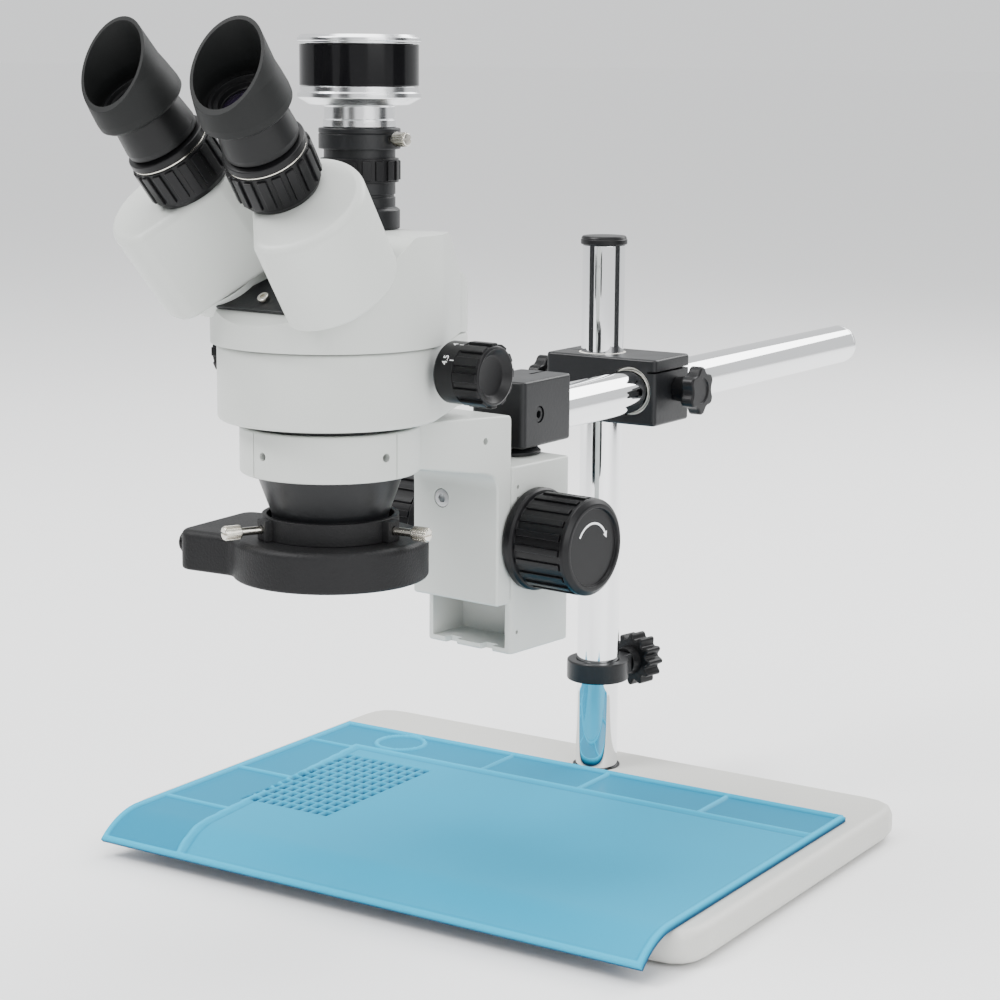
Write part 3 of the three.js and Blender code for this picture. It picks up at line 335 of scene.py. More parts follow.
def worked(item, operation, tools):
    for tool in tools:
        step = item.modifiers.new("work", "BOOLEAN")
        step.operation = operation
        step.solver = "EXACT"
        step.object = tool
    baked(item)
    for tool in tools:
        bpy.data.objects.remove(tool)
    return item


def cut(item, *tools):
    return worked(item, "DIFFERENCE", tools)


def joined(item, *others):
    return worked(item, "UNION", others)


def common(item, *others):
    return worked(item, "INTERSECT", others)


def gathered(*items):
    """Puts separate closed shapes in one object."""
    bm = bmesh.new()
    for item in items:
        bm.from_mesh(item.data)
        bpy.data.objects.remove(item)
    return shape(bm, tidy=False)


def lobed_outline(radius, lobes, depth, sharpness=1.0, per_lobe=12):
    points = []
    for i in range(lobes * per_lobe):
        angle = 2 * math.pi * i / (lobes * per_lobe)
        wave = math.cos(lobes * angle)
        wave = math.copysign(abs(wave) ** sharpness, wave)
        r = radius + depth * (wave - 1) / 2
        points.append((r * math.cos(angle), r * math.sin(angle)))
    return points


# ------------------------------------------------------------------------------------------------
# Geometry nodes that set copies of a small shape round an axis
# ------------------------------------------------------------------------------------------------

def ring_tree():
    tree = bpy.data.node_groups.new("set_round_an_axis", "GeometryNodeTree")
    sockets = {"Item": "NodeSocketObject", "Count": "NodeSocketInt", "Radius": "NodeSocketFloat",
               "Height": "NodeSocketFloat", "Finish": "NodeSocketMaterial"}
    for name, kind in sockets.items():
        tree.interface.new_socket(name, in_out="INPUT", socket_type=kind)
    tree.interface.new_socket("Geometry", in_out="OUTPUT", socket_type="NodeSocketGeometry")
    add, link = tree.nodes.new, tree.links.new
    given, result = add("NodeGroupInput"), add("NodeGroupOutput")
    circle, lift, source = add("GeometryNodeMeshCircle"), add("GeometryNodeTransform"), add("GeometryNodeObjectInfo")
    spot, flat, facing = add("GeometryNodeInputPosition"), add("ShaderNodeVectorMath"), \
        add("FunctionNodeAlignRotationToVector")
    height, copies = add("ShaderNodeCombineXYZ"), add("GeometryNodeInstanceOnPoints")
    real, coat = add("GeometryNodeRealizeInstances"), add("GeometryNodeSetMaterial")
    flat.operation = "MULTIPLY"
    flat.inputs[1].default_value = (1, 1, 0)
    facing.axis = "X"
    facing.pivot_axis = "Z"
    link(given.outputs["Count"], circle.inputs["Vertices"])
    link(given.outputs["Radius"], circle.inputs["Radius"])
    link(given.outputs["Height"], height.inputs["Z"])
    link(height.outputs[0], lift.inputs["Translation"])
    link(circle.outputs["Mesh"], lift.inputs["Geometry"])
    link(lift.outputs["Geometry"], copies.inputs["Points"])
    link(given.outputs["Item"], source.inputs["Object"])
    link(source.outputs["Geometry"], copies.inputs["Instance"])
    link(spot.outputs[0], flat.inputs[0])
    link(flat.outputs[0], facing.inputs["Vector"])
    link(facing.outputs[0], copies.inputs["Rotation"])
    link(copies.outputs["Instances"], real.inputs["Geometry"])
    link(real.outputs["Geometry"], coat.inputs["Geometry"])
    link(given.outputs["Finish"], coat.inputs["Material"])
    link(coat.outputs["Geometry"], result.inputs["Geometry"])
    return tree


RING_TREE = ring_tree()


def set_round(item, count, radius, height, finish):
    """Copies of item, whose x axis points outwards, evenly round the z axis."""
    host = shape(bmesh.new(), tidy=False)
    nodes = host.modifiers.new("copies", "NODES")
    nodes.node_group = RING_TREE
    values = {"Item": item, "Count": count, "Radius": float(radius), "Height": float(height),
              "Finish": FINISH[finish][0]}
    for socket in RING_TREE.interface.items_tree:
        if socket.in_out == "INPUT":
            nodes[socket.identifier] = values[socket.name]
    baked(host)
    bpy.data.objects.remove(item)
    return host


def bar(width, depth, length):
    """A rounded rib that lies along z with its back at x = 0."""
    return bevelled(block((-depth, depth), (-width / 2, width / 2), (0, length)), min(width, depth) * 0.45, 2)


# ------------------------------------------------------------------------------------------------
# Finishes
# ------------------------------------------------------------------------------------------------

class Value:
    """A shader socket that Python arithmetic adds Math nodes to."""

    def __init__(self, shader, socket):
        self.shader = shader
        self.socket = socket

    def math(self, operation, first, second):
        return self.shader.node("ShaderNodeMath", {"operation": operation}, {0: first, 1: second})

    def __add__(self, other):
        return self.math("ADD", self, other)

    def __radd__(self, other):
        return self.math("ADD", other, self)

    def __sub__(self, other):
        return self.math("SUBTRACT", self, other)

    def __rsub__(self, other):
        return self.math("SUBTRACT", other, self)

    def __mul__(self, other):
        return self.math("MULTIPLY", self, other)

    def __rmul__(self, other):
        return self.math("MULTIPLY", other, self)

    def __pow__(self, other):
        return self.math("POWER", self, other)

    def above(self, level):
        return self.math("GREATER_THAN", self, level)


class Shader:
    """A material on the Principled shader, with one method for every other node."""

    def __init__(self, name, colour, roughness, metallic=0.0, gloss=0.5):
        self.material = bpy.data.materials.new(name)
        self.material.use_nodes = True
        self.tree = self.material.node_tree
        self.surface = self.tree.nodes["Principled BSDF"]
        self.place = self.node("ShaderNodeTexCoord", output="Object")
        self.set("Base Color", (*colour, 1))
        self.set("Roughness", roughness)
        self.set("Metallic", metallic)
        self.set("Specular IOR Level", gloss)

    def put(self, socket, value):
        if isinstance(value, Value):
            self.tree.links.new(value.socket, socket)
        else:
            socket.default_value = value

    def set(self, name, value):
        self.put(self.surface.inputs[name], value)

    def node(self, kind, settings=None, sockets=None, output=0):
        made = self.tree.nodes.new(kind)
        for name, value in (settings or {}).items():
            setattr(made, name, value)
        for name, value in (sockets or {}).items():
            self.put(made.inputs[name], value)
        return Value(self, made.outputs[output])

    def noise(self, scale, detail=2.0, stretch=None):
        spot = self.place
        if stretch:
            spot = self.node("ShaderNodeMapping", None, {"Vector": spot, "Scale": stretch})
        return self.node("ShaderNodeTexNoise", None, {"Vector": spot, "Scale": scale, "Detail": detail})

    def mix(self, share, one, other):
        return self.node("ShaderNodeMix", {"data_type": "RGBA"}, {0: share, 6: (*one, 1), 7: (*other, 1)}, 2)

    def bump(self, height, strength, depth):
        self.set("Normal", self.node("ShaderNodeBump", None,
                                     {"Strength": strength, "Distance": depth, "Height": height}))


def painted(name, colour, roughness, peel=320.0, grain=0.16):
    """Sprayed paint: a fine orange peel, faint clouds in its colour and duller patches."""
    shader = Shader(name, colour, roughness, 0.0, 0.3)
    clouds = shader.noise(14, 3)
    darker = tuple(c * 0.955 for c in colour)
    shader.set("Base Color", shader.mix(clouds, darker, colour))
    shader.set("Roughness", roughness - 0.06 + 0.12 * shader.noise(38, 4))
    shader.bump(shader.noise(peel, 2) + 0.25 * shader.noise(peel * 4, 2), grain, 0.0002)
    return shader.material


def moulded(name, colour, roughness, grain_scale=1500.0, grain=0.2, depth=0.0001):
    """Moulded plastic or rubber: a fine grain, with handled patches that shine or dull a little."""
    shader = Shader(name, colour, roughness, 0.0, 0.2)
    handled = shader.noise(45, 4)
    lighter = tuple(c * 1.5 + 0.002 for c in colour)
    shader.set("Base Color", shader.mix(handled, colour, lighter))
    shader.set("Roughness", roughness - 0.07 + 0.16 * handled)
    shader.bump(shader.noise(grain_scale, 3), grain, depth)
    return shader.material


def plated(name, colour, roughness, swirl=0.05):
    """Polished plate: almost a mirror, with faint wiping marks."""
    shader = Shader(name, colour, roughness, 1.0)
    wiped = shader.noise(60, 5, (1, 1, 0.12))
    shader.set("Roughness", roughness + swirl * wiped ** 2)
    shader.set("Base Color", shader.mix(shader.noise(25, 3), tuple(c * 0.95 for c in colour), colour))
    return shader.material


def turned_metal(name, colour, roughness, stretch=(1, 1, 14)):
    """Metal off the lathe: fine marks that run round the piece."""
    shader = Shader(name, colour, roughness, 1.0)
    marks = shader.noise(260, 3, stretch)
    shader.set("Roughness", roughness - 0.05 + 0.14 * marks)
    shader.set("Base Color", shader.mix(shader.noise(40, 3), tuple(c * 0.86 for c in colour), colour))
    shader.bump(marks, 0.12, 0.00008)
    return shader.material


def silicone():
    """Blue silicone with dull dusty clouds and a fine matt grain, and painted shade that darkens it by its stored
    height: darkest in the pits and at the foot of its sides, less in the grooves and strips, a little on the flat
    field, none on the crests and rim.
    """
    # the first colour is painted shade for the low places of the mat, the second the mat's own blue
    painted_recess_shade, crest = (0.0, 0.055, 0.13), (0.0, 0.39, 0.62)
    shader = Shader("blue_silicone_finish", crest, 0.5, 0.0, 0.15)
    dust = shader.noise(9, 5)
    relief = shader.node("ShaderNodeAttribute", {"attribute_name": "relief"}, None, "Fac")
    # painted shade: the colour runs from the dark shade colour in the pits and at the foot of the sides up to the full
    # blue on the crests and rim, by the stored height, a little uneven with the dust
    shader.set("Base Color", shader.mix((relief - 0.25) * 1.7 * (0.93 + 0.14 * dust), painted_recess_shade, crest))
    shader.set("Roughness", 0.42 + 0.2 * dust)
    shader.bump(shader.noise(1100, 3), 0.12, 0.0001)
    return shader.material


def coated_glass():
    """A dark lens with a thin purple coating."""
    shader = Shader("coated_glass_finish", (0.012, 0.008, 0.02), 0.03)
    shader.set("IOR", 1.6)
    shader.set("Coat Weight", 1.0)
    shader.set("Thin Film Thickness", 380.0)
    shader.set("Thin Film IOR", 1.7)
    shader.set("Roughness", 0.02 + 0.04 * shader.noise(50, 3))
    return shader.material


def floor_finish():
    shader = Shader("studio_floor_finish", (0.97, 0.97, 0.97), 0.6)
    shader.set("Roughness", 0.55 + 0.1 * shader.noise(3, 2))
    return shader.material


FINISH = {
    "plate": (painted("plate_powder_coat", (0.6, 0.597, 0.565), 0.42, 700, 0.25), "plate_paint"),
    "white": (painted("white_casting_paint", (0.555, 0.575, 0.55), 0.36), "white_paint"),
    "black_paint": (painted("black_satin_paint", (0.0075, 0.008, 0.009), 0.38, 520, 0.3), "black_metal"),
    "black_plastic": (moulded("black_plastic_finish", (0.0045, 0.0045, 0.005), 0.34), "black_plastic"),
    "gloss_black": (moulded("gloss_black_sleeve", (0.003, 0.003, 0.0035), 0.12, 300, 0.03), "gloss_black"),
    "eyepiece": (moulded("eyepiece_satin_black", (0.006, 0.0062, 0.0065), 0.4), "eyepiece_black"),
    "textured": (moulded("textured_black_plastic", (0.0065, 0.0065, 0.007), 0.5, 900, 0.85, 0.00035), "textured_black"),
    "cup_rubber": (moulded("eyecup_rubber_finish", (0.006, 0.0065, 0.0065), 0.55, 1300, 0.3), "eyecup_rubber"),
    "foot_rubber": (moulded("foot_rubber_finish", (0.02, 0.02, 0.02), 0.8), "foot_rubber"),
    "silicone": (silicone(), "blue_silicone"),
    "chrome": (plated("chrome_plate", (0.88, 0.89, 0.9), 0.035), "chrome"),
    "steel": (turned_metal("machined_steel", (0.55, 0.56, 0.57), 0.3), "steel"),
    "nickel": (turned_metal("nickel_plate", (0.72, 0.69, 0.62), 0.22), "nickel"),
    "silver": (turned_metal("turned_aluminium", (0.86, 0.87, 0.88), 0.2), "silver_aluminium"),
    "brass": (turned_metal("machined_brass", (0.72, 0.54, 0.25), 0.28), "brass"),
    "acetal": (moulded("acetal_finish", (0.72, 0.7, 0.64), 0.4), "acetal"),
    "glass": (coated_glass(), "lens_glass"),
    "diffuser": (moulded("diffuser_finish", (0.78, 0.8, 0.82), 0.3), "led_diffuser"),
    "print": (moulded("white_print", (0.72, 0.73, 0.73), 0.5), "led_diffuser"),
    "floor": (floor_finish(), ""),
}


# ------------------------------------------------------------------------------------------------
# Finished pieces
# ------------------------------------------------------------------------------------------------

def mended(item):
    """Merges the corners that a boolean leaves a hair apart."""
    bm = bmesh.new()
    bm.from_mesh(item.data)
    bmesh.ops.remove_doubles(bm, verts=bm.verts, dist=0.005)
    bmesh.ops.dissolve_degenerate(bm, edges=bm.edges, dist=0.005)
    bm.to_mesh(item.data)
    bm.free()
    return item


def add(name, item, place, finish, body, sharp=38):
    """Names a shape, puts it in its place in metres, and gives it its finish and its body."""
    item = mended(item)
    item.name = name
    item.data.name = name
    moved(item, Matrix.Scale(MM, 4) @ place)
    item.data.shade_smooth()
    item.data.set_sharp_from_angle(angle=math.radians(sharp))
    weighted = item.modifiers.new("normals", "WEIGHTED_NORMAL")
    weighted.keep_sharp = True
    baked(item)
    material, slot = FINISH[finish]
    item.data.materials.clear()
    item.data.materials.append(material)
    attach(item, body)
    return item


def dress(node, item, place, finish, sharp=38):
    """The finished form of a CAD node, riding on that node's body."""
    made = add("fine_" + node, item, place, finish, frame["nodes"][node]["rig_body"], sharp)
    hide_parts(node)
    return made


def refinish(node, finish):
    """A CAD node whose plain shape is right keeps it and takes a better material."""
    made = frame["nodes"][node]
    if not made.material_slots:
        made.data.materials.append(FINISH[finish][0])
    made.material_slots[0].material = FINISH[finish][0]


def hex_socket(across, start, end):
    return rod(across / math.sqrt(3), start, end, 0, 6)


# ------------------------------------------------------------------------------------------------
# Base plate, feet and pillar
# ------------------------------------------------------------------------------------------------

def base_plate():
    floor, roof = low("base_plate"), high("base_plate")
    corner, edge = 22, 5.5
    slab = block((floor.x, roof.x), (floor.y, roof.y), (floor.z, roof.z), corner)
    slab = bevelled(slab, edge, 5)
    bolt_hole = moved(rod(9.5, -1, 9), STAND)
    dress("base_plate", cut(slab, bolt_hole), Matrix(), "plate")


def rubber_feet():
    for number in range(1, 5):
        node = f"rubber_foot_{number}"
        spot = middle(node)
        r, top = 14.8, high(node).z
        profile = [(0, 1), (6, 1), (7, 0), (r - 1, 0), (r, 1), (r, top), (0, top)]
        dress(node, turned(profile), shift(spot.x, spot.y), "foot_rubber")


def pillar():
    top, bottom = high("pillar_tube").z, low("pillar_tube").z
    dress("pillar_tube", hoop(10, 12.5, bottom, top), STAND, "chrome")
    cap = high("pillar_cap").z
    profile = [(0, top - 9), (9.5, top - 9), (9.5, top + GAP), (13.6, top + GAP, 0.8), (13.6, cap - 2.2, 0.4),
               (13.1, cap - 1.8, 0.2), (13.3, cap - 1.4, 0.4), (12.6, cap, 1.0), (0, cap)]
    dress("pillar_cap", turned(profile), STAND, "black_plastic")
    refinish("pillar_plug", "steel")
    refinish("pillar_bolt", "steel")
    add("pillar_foot_washer", hoop(12.7, 14.2, 20.05, 20.6, 0.1), STAND, "black_plastic", "base")


def star_knob(radius, thickness, hub, hub_length, lobes, stud):
    """A lobed hand knob on a hub, with a dished face; its stud points along -z."""
    head = pushed(lobed_outline(radius, lobes, radius * 0.2, 0.7), hub_length, hub_length + thickness)
    head = bevelled(head, 1.3, 3, 50)
    dish = turned([(0, hub_length + thickness - 0.8), (radius * 0.5, hub_length + thickness - 0.8),
                   (radius * 0.55, hub_length + thickness + 1), (0, hub_length + thickness + 1)])
    neck = turned([(0, -0.1), (hub, -0.1), (hub + 1.2, hub_length + 1), (0, hub_length + 1)])
    return gathered(cut(head, dish), neck, rod(3, -stud, 1))


def stop_collar():
    height = high("stop_collar").z - low("stop_collar").z
    outer, bore, boss = 18.5, 12.8, 23.5
    band = hoop(bore, outer, 0, height, 1.0)
    pad = bevelled(block((-7, 7), (bore + 2, boss), (0, height)), 1)
    hole = moved(rod(3.3, bore - 1, 30), shift(0, 0, height / 2) @ TO_Y)
    dress("stop_collar", cut(joined(band, pad), hole), STOP, "black_paint")
    knob = star_knob(16, 13, 8, 5, 12, 10)
    place = STOP @ shift(0, boss + GAP, height / 2) @ TO_Y
    dress("stop_collar_knob", knob, place, "black_plastic")
    add("stop_knob_insert", rod(4.2, 17.3, 18.4, 0.3), place, "steel", "stop_collar_knob")


# ------------------------------------------------------------------------------------------------
# Cross clamp, boom and end bracket
# ------------------------------------------------------------------------------------------------

def cross_clamp():
    floor, roof = low("clamp_block"), high("clamp_block")
    length = 38
    middle_y = (floor.y + roof.y) / 2
    housing = block((floor.x, roof.x), (floor.y, roof.y), (floor.z, roof.z), 3)
    housing = bevelled(housing, 1.6, 3)
    pillar_hole = moved(rod(14.1, floor.z - 1, roof.z + 1, 0, ROUND), STAND)
    boom_bar = rod(14.1, floor.y - 1, roof.y + 1, 0, ROUND)
    boom_hole = moved(boom_bar, shift(BOOM_X, 0, BOOM_Z) @ TO_Y)
    slit = moved(block((floor.x - 1, -12), (-0.6, 0.6), (BOOM_Z + 8, roof.z + 1)), STAND)
    boom_slit = block((BOOM_X + 12, roof.x + 1), (floor.y - 1, roof.y + 1), (BOOM_Z + 11, BOOM_Z + 12.2))
    left_place = shift(floor.x, pivot_of("pillar_knob_turn").y, BOOM_Z) @ TO_MINUS_X
    right_place = shift(roof.x, pivot_of("boom_knob_turn").y, BOOM_Z) @ TO_X
    holes = [moved(rod(3.3, -14, 1), left_place), moved(rod(3.3, -3.4, 1), right_place)]
    dress("clamp_block", cut(housing, pillar_hole, boom_hole, slit, boom_slit, *holes), Matrix(), "black_paint")
    dress("pillar_liner", hoop(12.8, 13.8, BOOM_Z - length / 2, BOOM_Z + length / 2, 0.1), STAND, "acetal")
    bush = hoop(12.8, 13.8, -length / 2, length / 2, 0.1)
    dress("boom_liner", bush, shift(BOOM_X, middle_y, BOOM_Z) @ TO_Y, "acetal")
    dress("pillar_clamp_knob", star_knob(14, 8, 7, 9, 6, 11.6), shift(-GAP) @ left_place, "black_plastic")
    dress("boom_clamp_knob", star_knob(14, 8, 7, 9, 6, 2), shift(GAP) @ right_place, "black_plastic")


def boom():
    front, rear = low("boom_tube").y, high("boom_tube").y
    axis = shift(BOOM_X, 0, BOOM_Z) @ TO_Y
    dress("boom_tube", hoop(10.5, 12.5, front, rear), axis, "chrome")
    tip = high("boom_end_plug").y
    profile = [(0, rear - 11), (10, rear - 11), (10, rear + GAP), (12.5, rear + GAP, 0.5), (12.5, tip, 1.4), (0, tip)]
    dress("boom_end_plug", turned(profile), axis, "chrome")


def end_bracket():
    floor, roof = low("end_bracket"), high("end_bracket")
    housing = bevelled(block((floor.x, roof.x), (floor.y, roof.y), (floor.z, roof.z), 3.5), 1.6, 3)
    stem = pivot_of("rack_swivel")
    front = low("boom_tube").y
    socket = moved(rod(12.8, front - GAP, roof.y + 1, 0, ROUND), shift(BOOM_X, 0, BOOM_Z) @ TO_Y)
    stem_hole = moved(rod(10.3, floor.z - 1, floor.z + 30.3, 0, ROUND), shift(stem.x, stem.y))
    slit = block((BOOM_X - 1, BOOM_X + 1), (front, roof.y + 1), (BOOM_Z + 10, roof.z + 1))
    screw_place = shift(stem.x, stem.y, BOOM_Z + 3) @ TO_X
    screw_hole = moved(rod(4.5, 8, 20), screw_place)
    pinch_place = shift(BOOM_X - 16, roof.y - 14, BOOM_Z + 15) @ TO_MINUS_X
    pinch_hole = moved(rod(3.2, -1.5, 4), pinch_place)
    front_hole = moved(rod(3.2, -2, 4), shift(stem.x - 3, floor.y, BOOM_Z + 14) @ turn(90, "X"))
    dress("end_bracket", cut(housing, socket, stem_hole, slit, screw_hole, pinch_hole, front_hole), Matrix(),
          "black_paint")
    screw = cut(rod(4.2, 10.8, 15.9, 0.5), hex_socket(4, 13, 17))
    dress("bracket_screw", screw, screw_place, "black_paint")


# ------------------------------------------------------------------------------------------------
# Focus rack
# ------------------------------------------------------------------------------------------------

RACK_TOP = high("rack_housing").z
RACK_BOTTOM = low("rack_housing").z
RACK_HALF, RACK_AHEAD, RACK_BEHIND = 28.5, 36.5, 13
SLIDE_FACE = -RACK_AHEAD - GAP
PINION = RACK.inverted() @ pivot_of("focus_turn")


def stem_post():
    seat = RACK_TOP + GAP
    shoulder = seat + 4.4
    top = high("stem_post").z
    profile = [(0, seat - 15), (6, seat - 15), (6, seat), (15, seat), (15, seat + 1.6), (13, shoulder - 1),
               (11.5, shoulder - 1), (11.5, shoulder), (10, shoulder), (10, top), (0, top)]
    dress("stem_post", turned(profile, 0.3), RACK, "black_paint")


def rack_housing():
    w, wall = RACK_HALF, 4
    shell = block((-w, w), (-RACK_AHEAD, RACK_BEHIND), (RACK_BOTTOM, RACK_TOP), 3)
    shell = bevelled(shell, 1.2, 3)
    rear = PINION.y + 8
    cavity = block((wall - w, w - wall), (-RACK_AHEAD - 1, rear), (RACK_BOTTOM + 3, RACK_TOP - 8), 0.8)
    top_slot = block((-17.3, 17.3), (-RACK_AHEAD - 1, SLIDE_FACE + 12.2), (RACK_TOP - 9, RACK_TOP + 1))
    stem_hole = rod(6.3, RACK_TOP - 15.3, RACK_TOP + 1)
    shaft_hole = moved(rod(3.8, -w - 1, w + 1), shift(0, PINION.y, PINION.z) @ TO_X)
    notches = [block((x - 4, x + 4), (-RACK_AHEAD - 1, 5 - RACK_AHEAD), (RACK_BOTTOM - 1, RACK_BOTTOM + 4))
               for x in (-12, 12)]
    holes = [moved(rod(1.1, w - 3, w + 1, 0, 20), shift(0, 5 - RACK_AHEAD, RACK_TOP - drop) @ TO_X)
             for drop in (11, 17, 88)]
    shell = cut(shell, cavity, top_slot, stem_hole, shaft_hole, *notches, *holes)
    dress("rack_housing", shell, RACK, "white")
    refinish("pinion_shaft", "steel")
    refinish("dovetail_slide", "steel")
    refinish("gear_rack", "brass")


def arrow_print(radius, width):
    """A flat curved arrow with a head at one end."""
    points = []
    steps, start, end = 16, 150, 30
    for sign in (1, -1):
        line = range(steps + 1) if sign > 0 else range(steps, -1, -1)
        for i in line:
            angle = math.radians(start + (end - start) * i / steps)
            r = radius + sign * width / 2
            points.append((r * math.cos(angle), r * math.sin(angle)))
    tip = math.radians(end - 14)
    base = math.radians(end)
    head = [((radius + width * 1.5) * math.cos(base), (radius + width * 1.5) * math.sin(base)),
            ((radius - width * 1.5) * math.cos(base), (radius - width * 1.5) * math.sin(base)),
            (radius * math.cos(tip), radius * math.sin(tip))]
    return gathered(pushed(points, 0, 0.12), pushed(head, 0, 0.12))


def focus_knobs():
    bore, length, grip = 3.8, 40, 24.3
    for side, sign in SIDES.items():
        profile = [(0, 22.3), (bore, 22.3), (bore, 0), (26, 0), (27, 1.5), (27, 5), (26, 6.2), (grip, 6.8),
                   (grip, length - 4.2), (25.3, length - 3.8, 0.3), (25.2, length - 2, 1.2), (22.5, length, 1.6),
                   (20.6, length, 0.5), (20, length - 1.6, 0.4), (0, length - 1.6)]
        ribs = set_round(bar(3.6, 1.15, length - 12.4), 20, grip, 7.4, "black_plastic")
        knob = gathered(turned(profile, 0.4), ribs)
        place = RACK @ shift(sign * (RACK_HALF + 2 * GAP), PINION.y, PINION.z) @ (TO_X if sign > 0 else TO_MINUS_X)
        dress("focus_knob_" + side, knob, place, "black_plastic")
        arrow = moved(arrow_print(12.5, 1.1), shift(0, 0, length - 1.58))
        add("focus_arrow_" + side, arrow, place @ turn(90), "print", "focus_shaft")


def holder_arm():
    """A ring for the head on an arm that turns down into the wall of the slide."""
    top, floor = high("holder_arm").z, low("holder_arm").z
    back, front = SLIDE_FACE, SLIDE_FACE - 11.5
    reach = 143
    arm_top = top - 5
    ring_face = 21 - reach
    outline = eased([(ring_face, top), (back, arm_top, 3), (back, floor, 3), (front, floor, 2),
                     (front, arm_top - 30, 10), (ring_face, top - 22)], 0, True)
    web = bevelled(pushed_along_x(outline, -RACK_HALF, RACK_HALF), 1.4, 3)
    ring_height = 22.6
    outer, bore = 43.7, 38.3
    band = moved(turned([(0, top - ring_height), (outer, top - ring_height), (outer, top), (0, top)], 1.2),
                 shift(0, -reach))
    arm = joined(web, band)
    hole = moved(rod(bore, top - 60, top + 20, 0, ROUND), shift(0, -reach))
    middle_z = top - ring_height / 2
    screw_holes = [moved(rod(2.1, bore - 2, outer + 8), shift(0, -reach, middle_z) @ turn(a) @ TO_X)
                   for a in (-10, -94)]
    seams = [moved(block((outer - 0.5, outer + 1), (-0.35, 0.35), (top - ring_height - 1, top + 1)),
                   shift(0, -reach) @ turn(a)) for a in (-1, -103)]
    side_hole = moved(rod(1.8, RACK_HALF - 4, RACK_HALF + 1), shift(0, front - 10, arm_top - 11) @ TO_X)
    screw = (-9, top - 51)
    counterbore = moved(rod(5.1, front - 1, front + 4.3), shift(screw[0], 0, screw[1]) @ TO_Y)
    through = moved(rod(3.3, front - 1, back + 1), shift(screw[0], 0, screw[1]) @ TO_Y)
    arm = cut(arm, hole, *screw_holes, *seams, side_hole, counterbore, through)
    dress("holder_arm", arm, RACK, "white")
    head = turned([(0, front + 0.3), (4.8, front + 0.3), (4.8, front + 4), (3, front + 4), (3, back + 5), (0, back + 5)],
                  0.5)
    cap_screw = cut(head, hex_socket(4.4, front - 1, front + 2.6))
    dress("plate_screw", cap_screw, RACK @ shift(screw[0], 0, screw[1]) @ TO_Y, "steel")


# ------------------------------------------------------------------------------------------------
# Zoom head
# ------------------------------------------------------------------------------------------------

BODY_BOTTOM = low("zoom_body_lower").z
SEAM = high("zoom_body_lower").z
HEAD_TOP = high("upper_housing").z
UPPER_BOTTOM = low("upper_housing").z
BODY_BACK, BODY_HALF, BODY_CORNER = 82, 27, 14
SLOPE = math.radians(38)
UPPER_RADIUS = 57


def head_plan(radius, inset=0):
    """The head seen from above: round at the front and narrowed to a rounded back."""
    r, back, half, corner = radius - inset, BODY_BACK - inset, BODY_HALF - inset, BODY_CORNER - inset
    steps = 72
    leave = math.radians(24)
    first, last = math.pi - leave, 2 * math.pi + leave
    points = [(r * math.cos(first + (last - first) * i / steps), r * math.sin(first + (last - first) * i / steps))
              for i in range(steps + 1)]
    for side in (1, -1):
        arc = []
        for k in range(9):
            t = k / 8
            x = half * (1 - t) ** 2 + half * 2 * t * (1 - t) + (half - corner) * t ** 2
            y = (back - corner) * (1 - t) ** 2 + back * 2 * t * (1 - t) + back * t ** 2
            arc.append((side * x, y))
        points += arc if side > 0 else arc[::-1]
    return points


def lower_body():
    radius, wall, floor = 54, 3, 3.2
    outer = bevelled(pushed(head_plan(radius), BODY_BOTTOM, SEAM), 2.2, 4, 50)
    inner = pushed(head_plan(radius, wall), BODY_BOTTOM + floor, SEAM + 5)
    eye = rod(30, BODY_BOTTOM - 1, BODY_BOTTOM + floor + 1, 0, ROUND)
    zoom = HEAD.inverted() @ pivot_of("zoom_turn")
    shaft = moved(rod(3.3, -60, 60), shift(0, zoom.y, zoom.z) @ TO_X)
    dress("zoom_body_lower", cut(outer, inner, eye, shaft), HEAD, "white")


def side_outline(inset):
    """The upper housing from the side: a short front, a slope for the eyepieces, a flat top and a sloping back."""
    start = -UPPER_RADIUS + inset
    rise = UPPER_BOTTOM + 11.5
    lift = inset / math.cos(SLOPE)
    crest = (HEAD_TOP - rise) / math.tan(SLOPE) - UPPER_RADIUS
    base = UPPER_BOTTOM - 6 * inset - (1 if inset else 0)
    ease = 0 if inset else 7
    return eased([(start, base, 0), (start, rise + inset * math.tan(SLOPE) - lift, ease * 0.5),
                  (crest + inset * 0.4, HEAD_TOP - inset, ease), (36, HEAD_TOP - inset, ease * 1.3),
                  (BODY_BACK - inset, UPPER_BOTTOM + 21 - inset, ease * 1.3), (BODY_BACK - inset, base, 0)], 0, True)


def upper_housing():
    plan = pushed(head_plan(UPPER_RADIUS), UPPER_BOTTOM, HEAD_TOP + 5)
    outer = common(plan, pushed_along_x(side_outline(0), -70, 70))
    outer = bevelled(outer, 2.4, 4, 32)
    inner = common(pushed(head_plan(UPPER_RADIUS, 3), UPPER_BOTTOM - 5, HEAD_TOP + 5),
                   pushed_along_x(side_outline(3), -70, 70))
    to_head = HEAD.inverted()
    pads = []
    paths = []
    for side in SIDES:
        place = to_head @ eye_place(side)
        pads.append(moved(turned([(0, -8), (20, -8), (20, -GAP), (15.7, -GAP), (15.7, 2.6), (0, 2.6)], 0.2), place))
        paths.append(moved(rod(10.5, -30, 20), place))
    port_hole = moved(rod(13.3, HEAD_TOP - 20, HEAD_TOP + 5), shift(0, 23))
    shell = cut(joined(outer, *pads), inner, *paths, port_hole)
    dress("upper_housing", shell, HEAD, "white", 30)


def slope_place(up):
    y = -UPPER_RADIUS + up * math.cos(SLOPE)
    z = UPPER_BOTTOM + 11.5 + (y + UPPER_RADIUS) * math.tan(SLOPE)
    return HEAD @ shift(0, y, z) @ Matrix.Rotation(SLOPE, 4, "X")


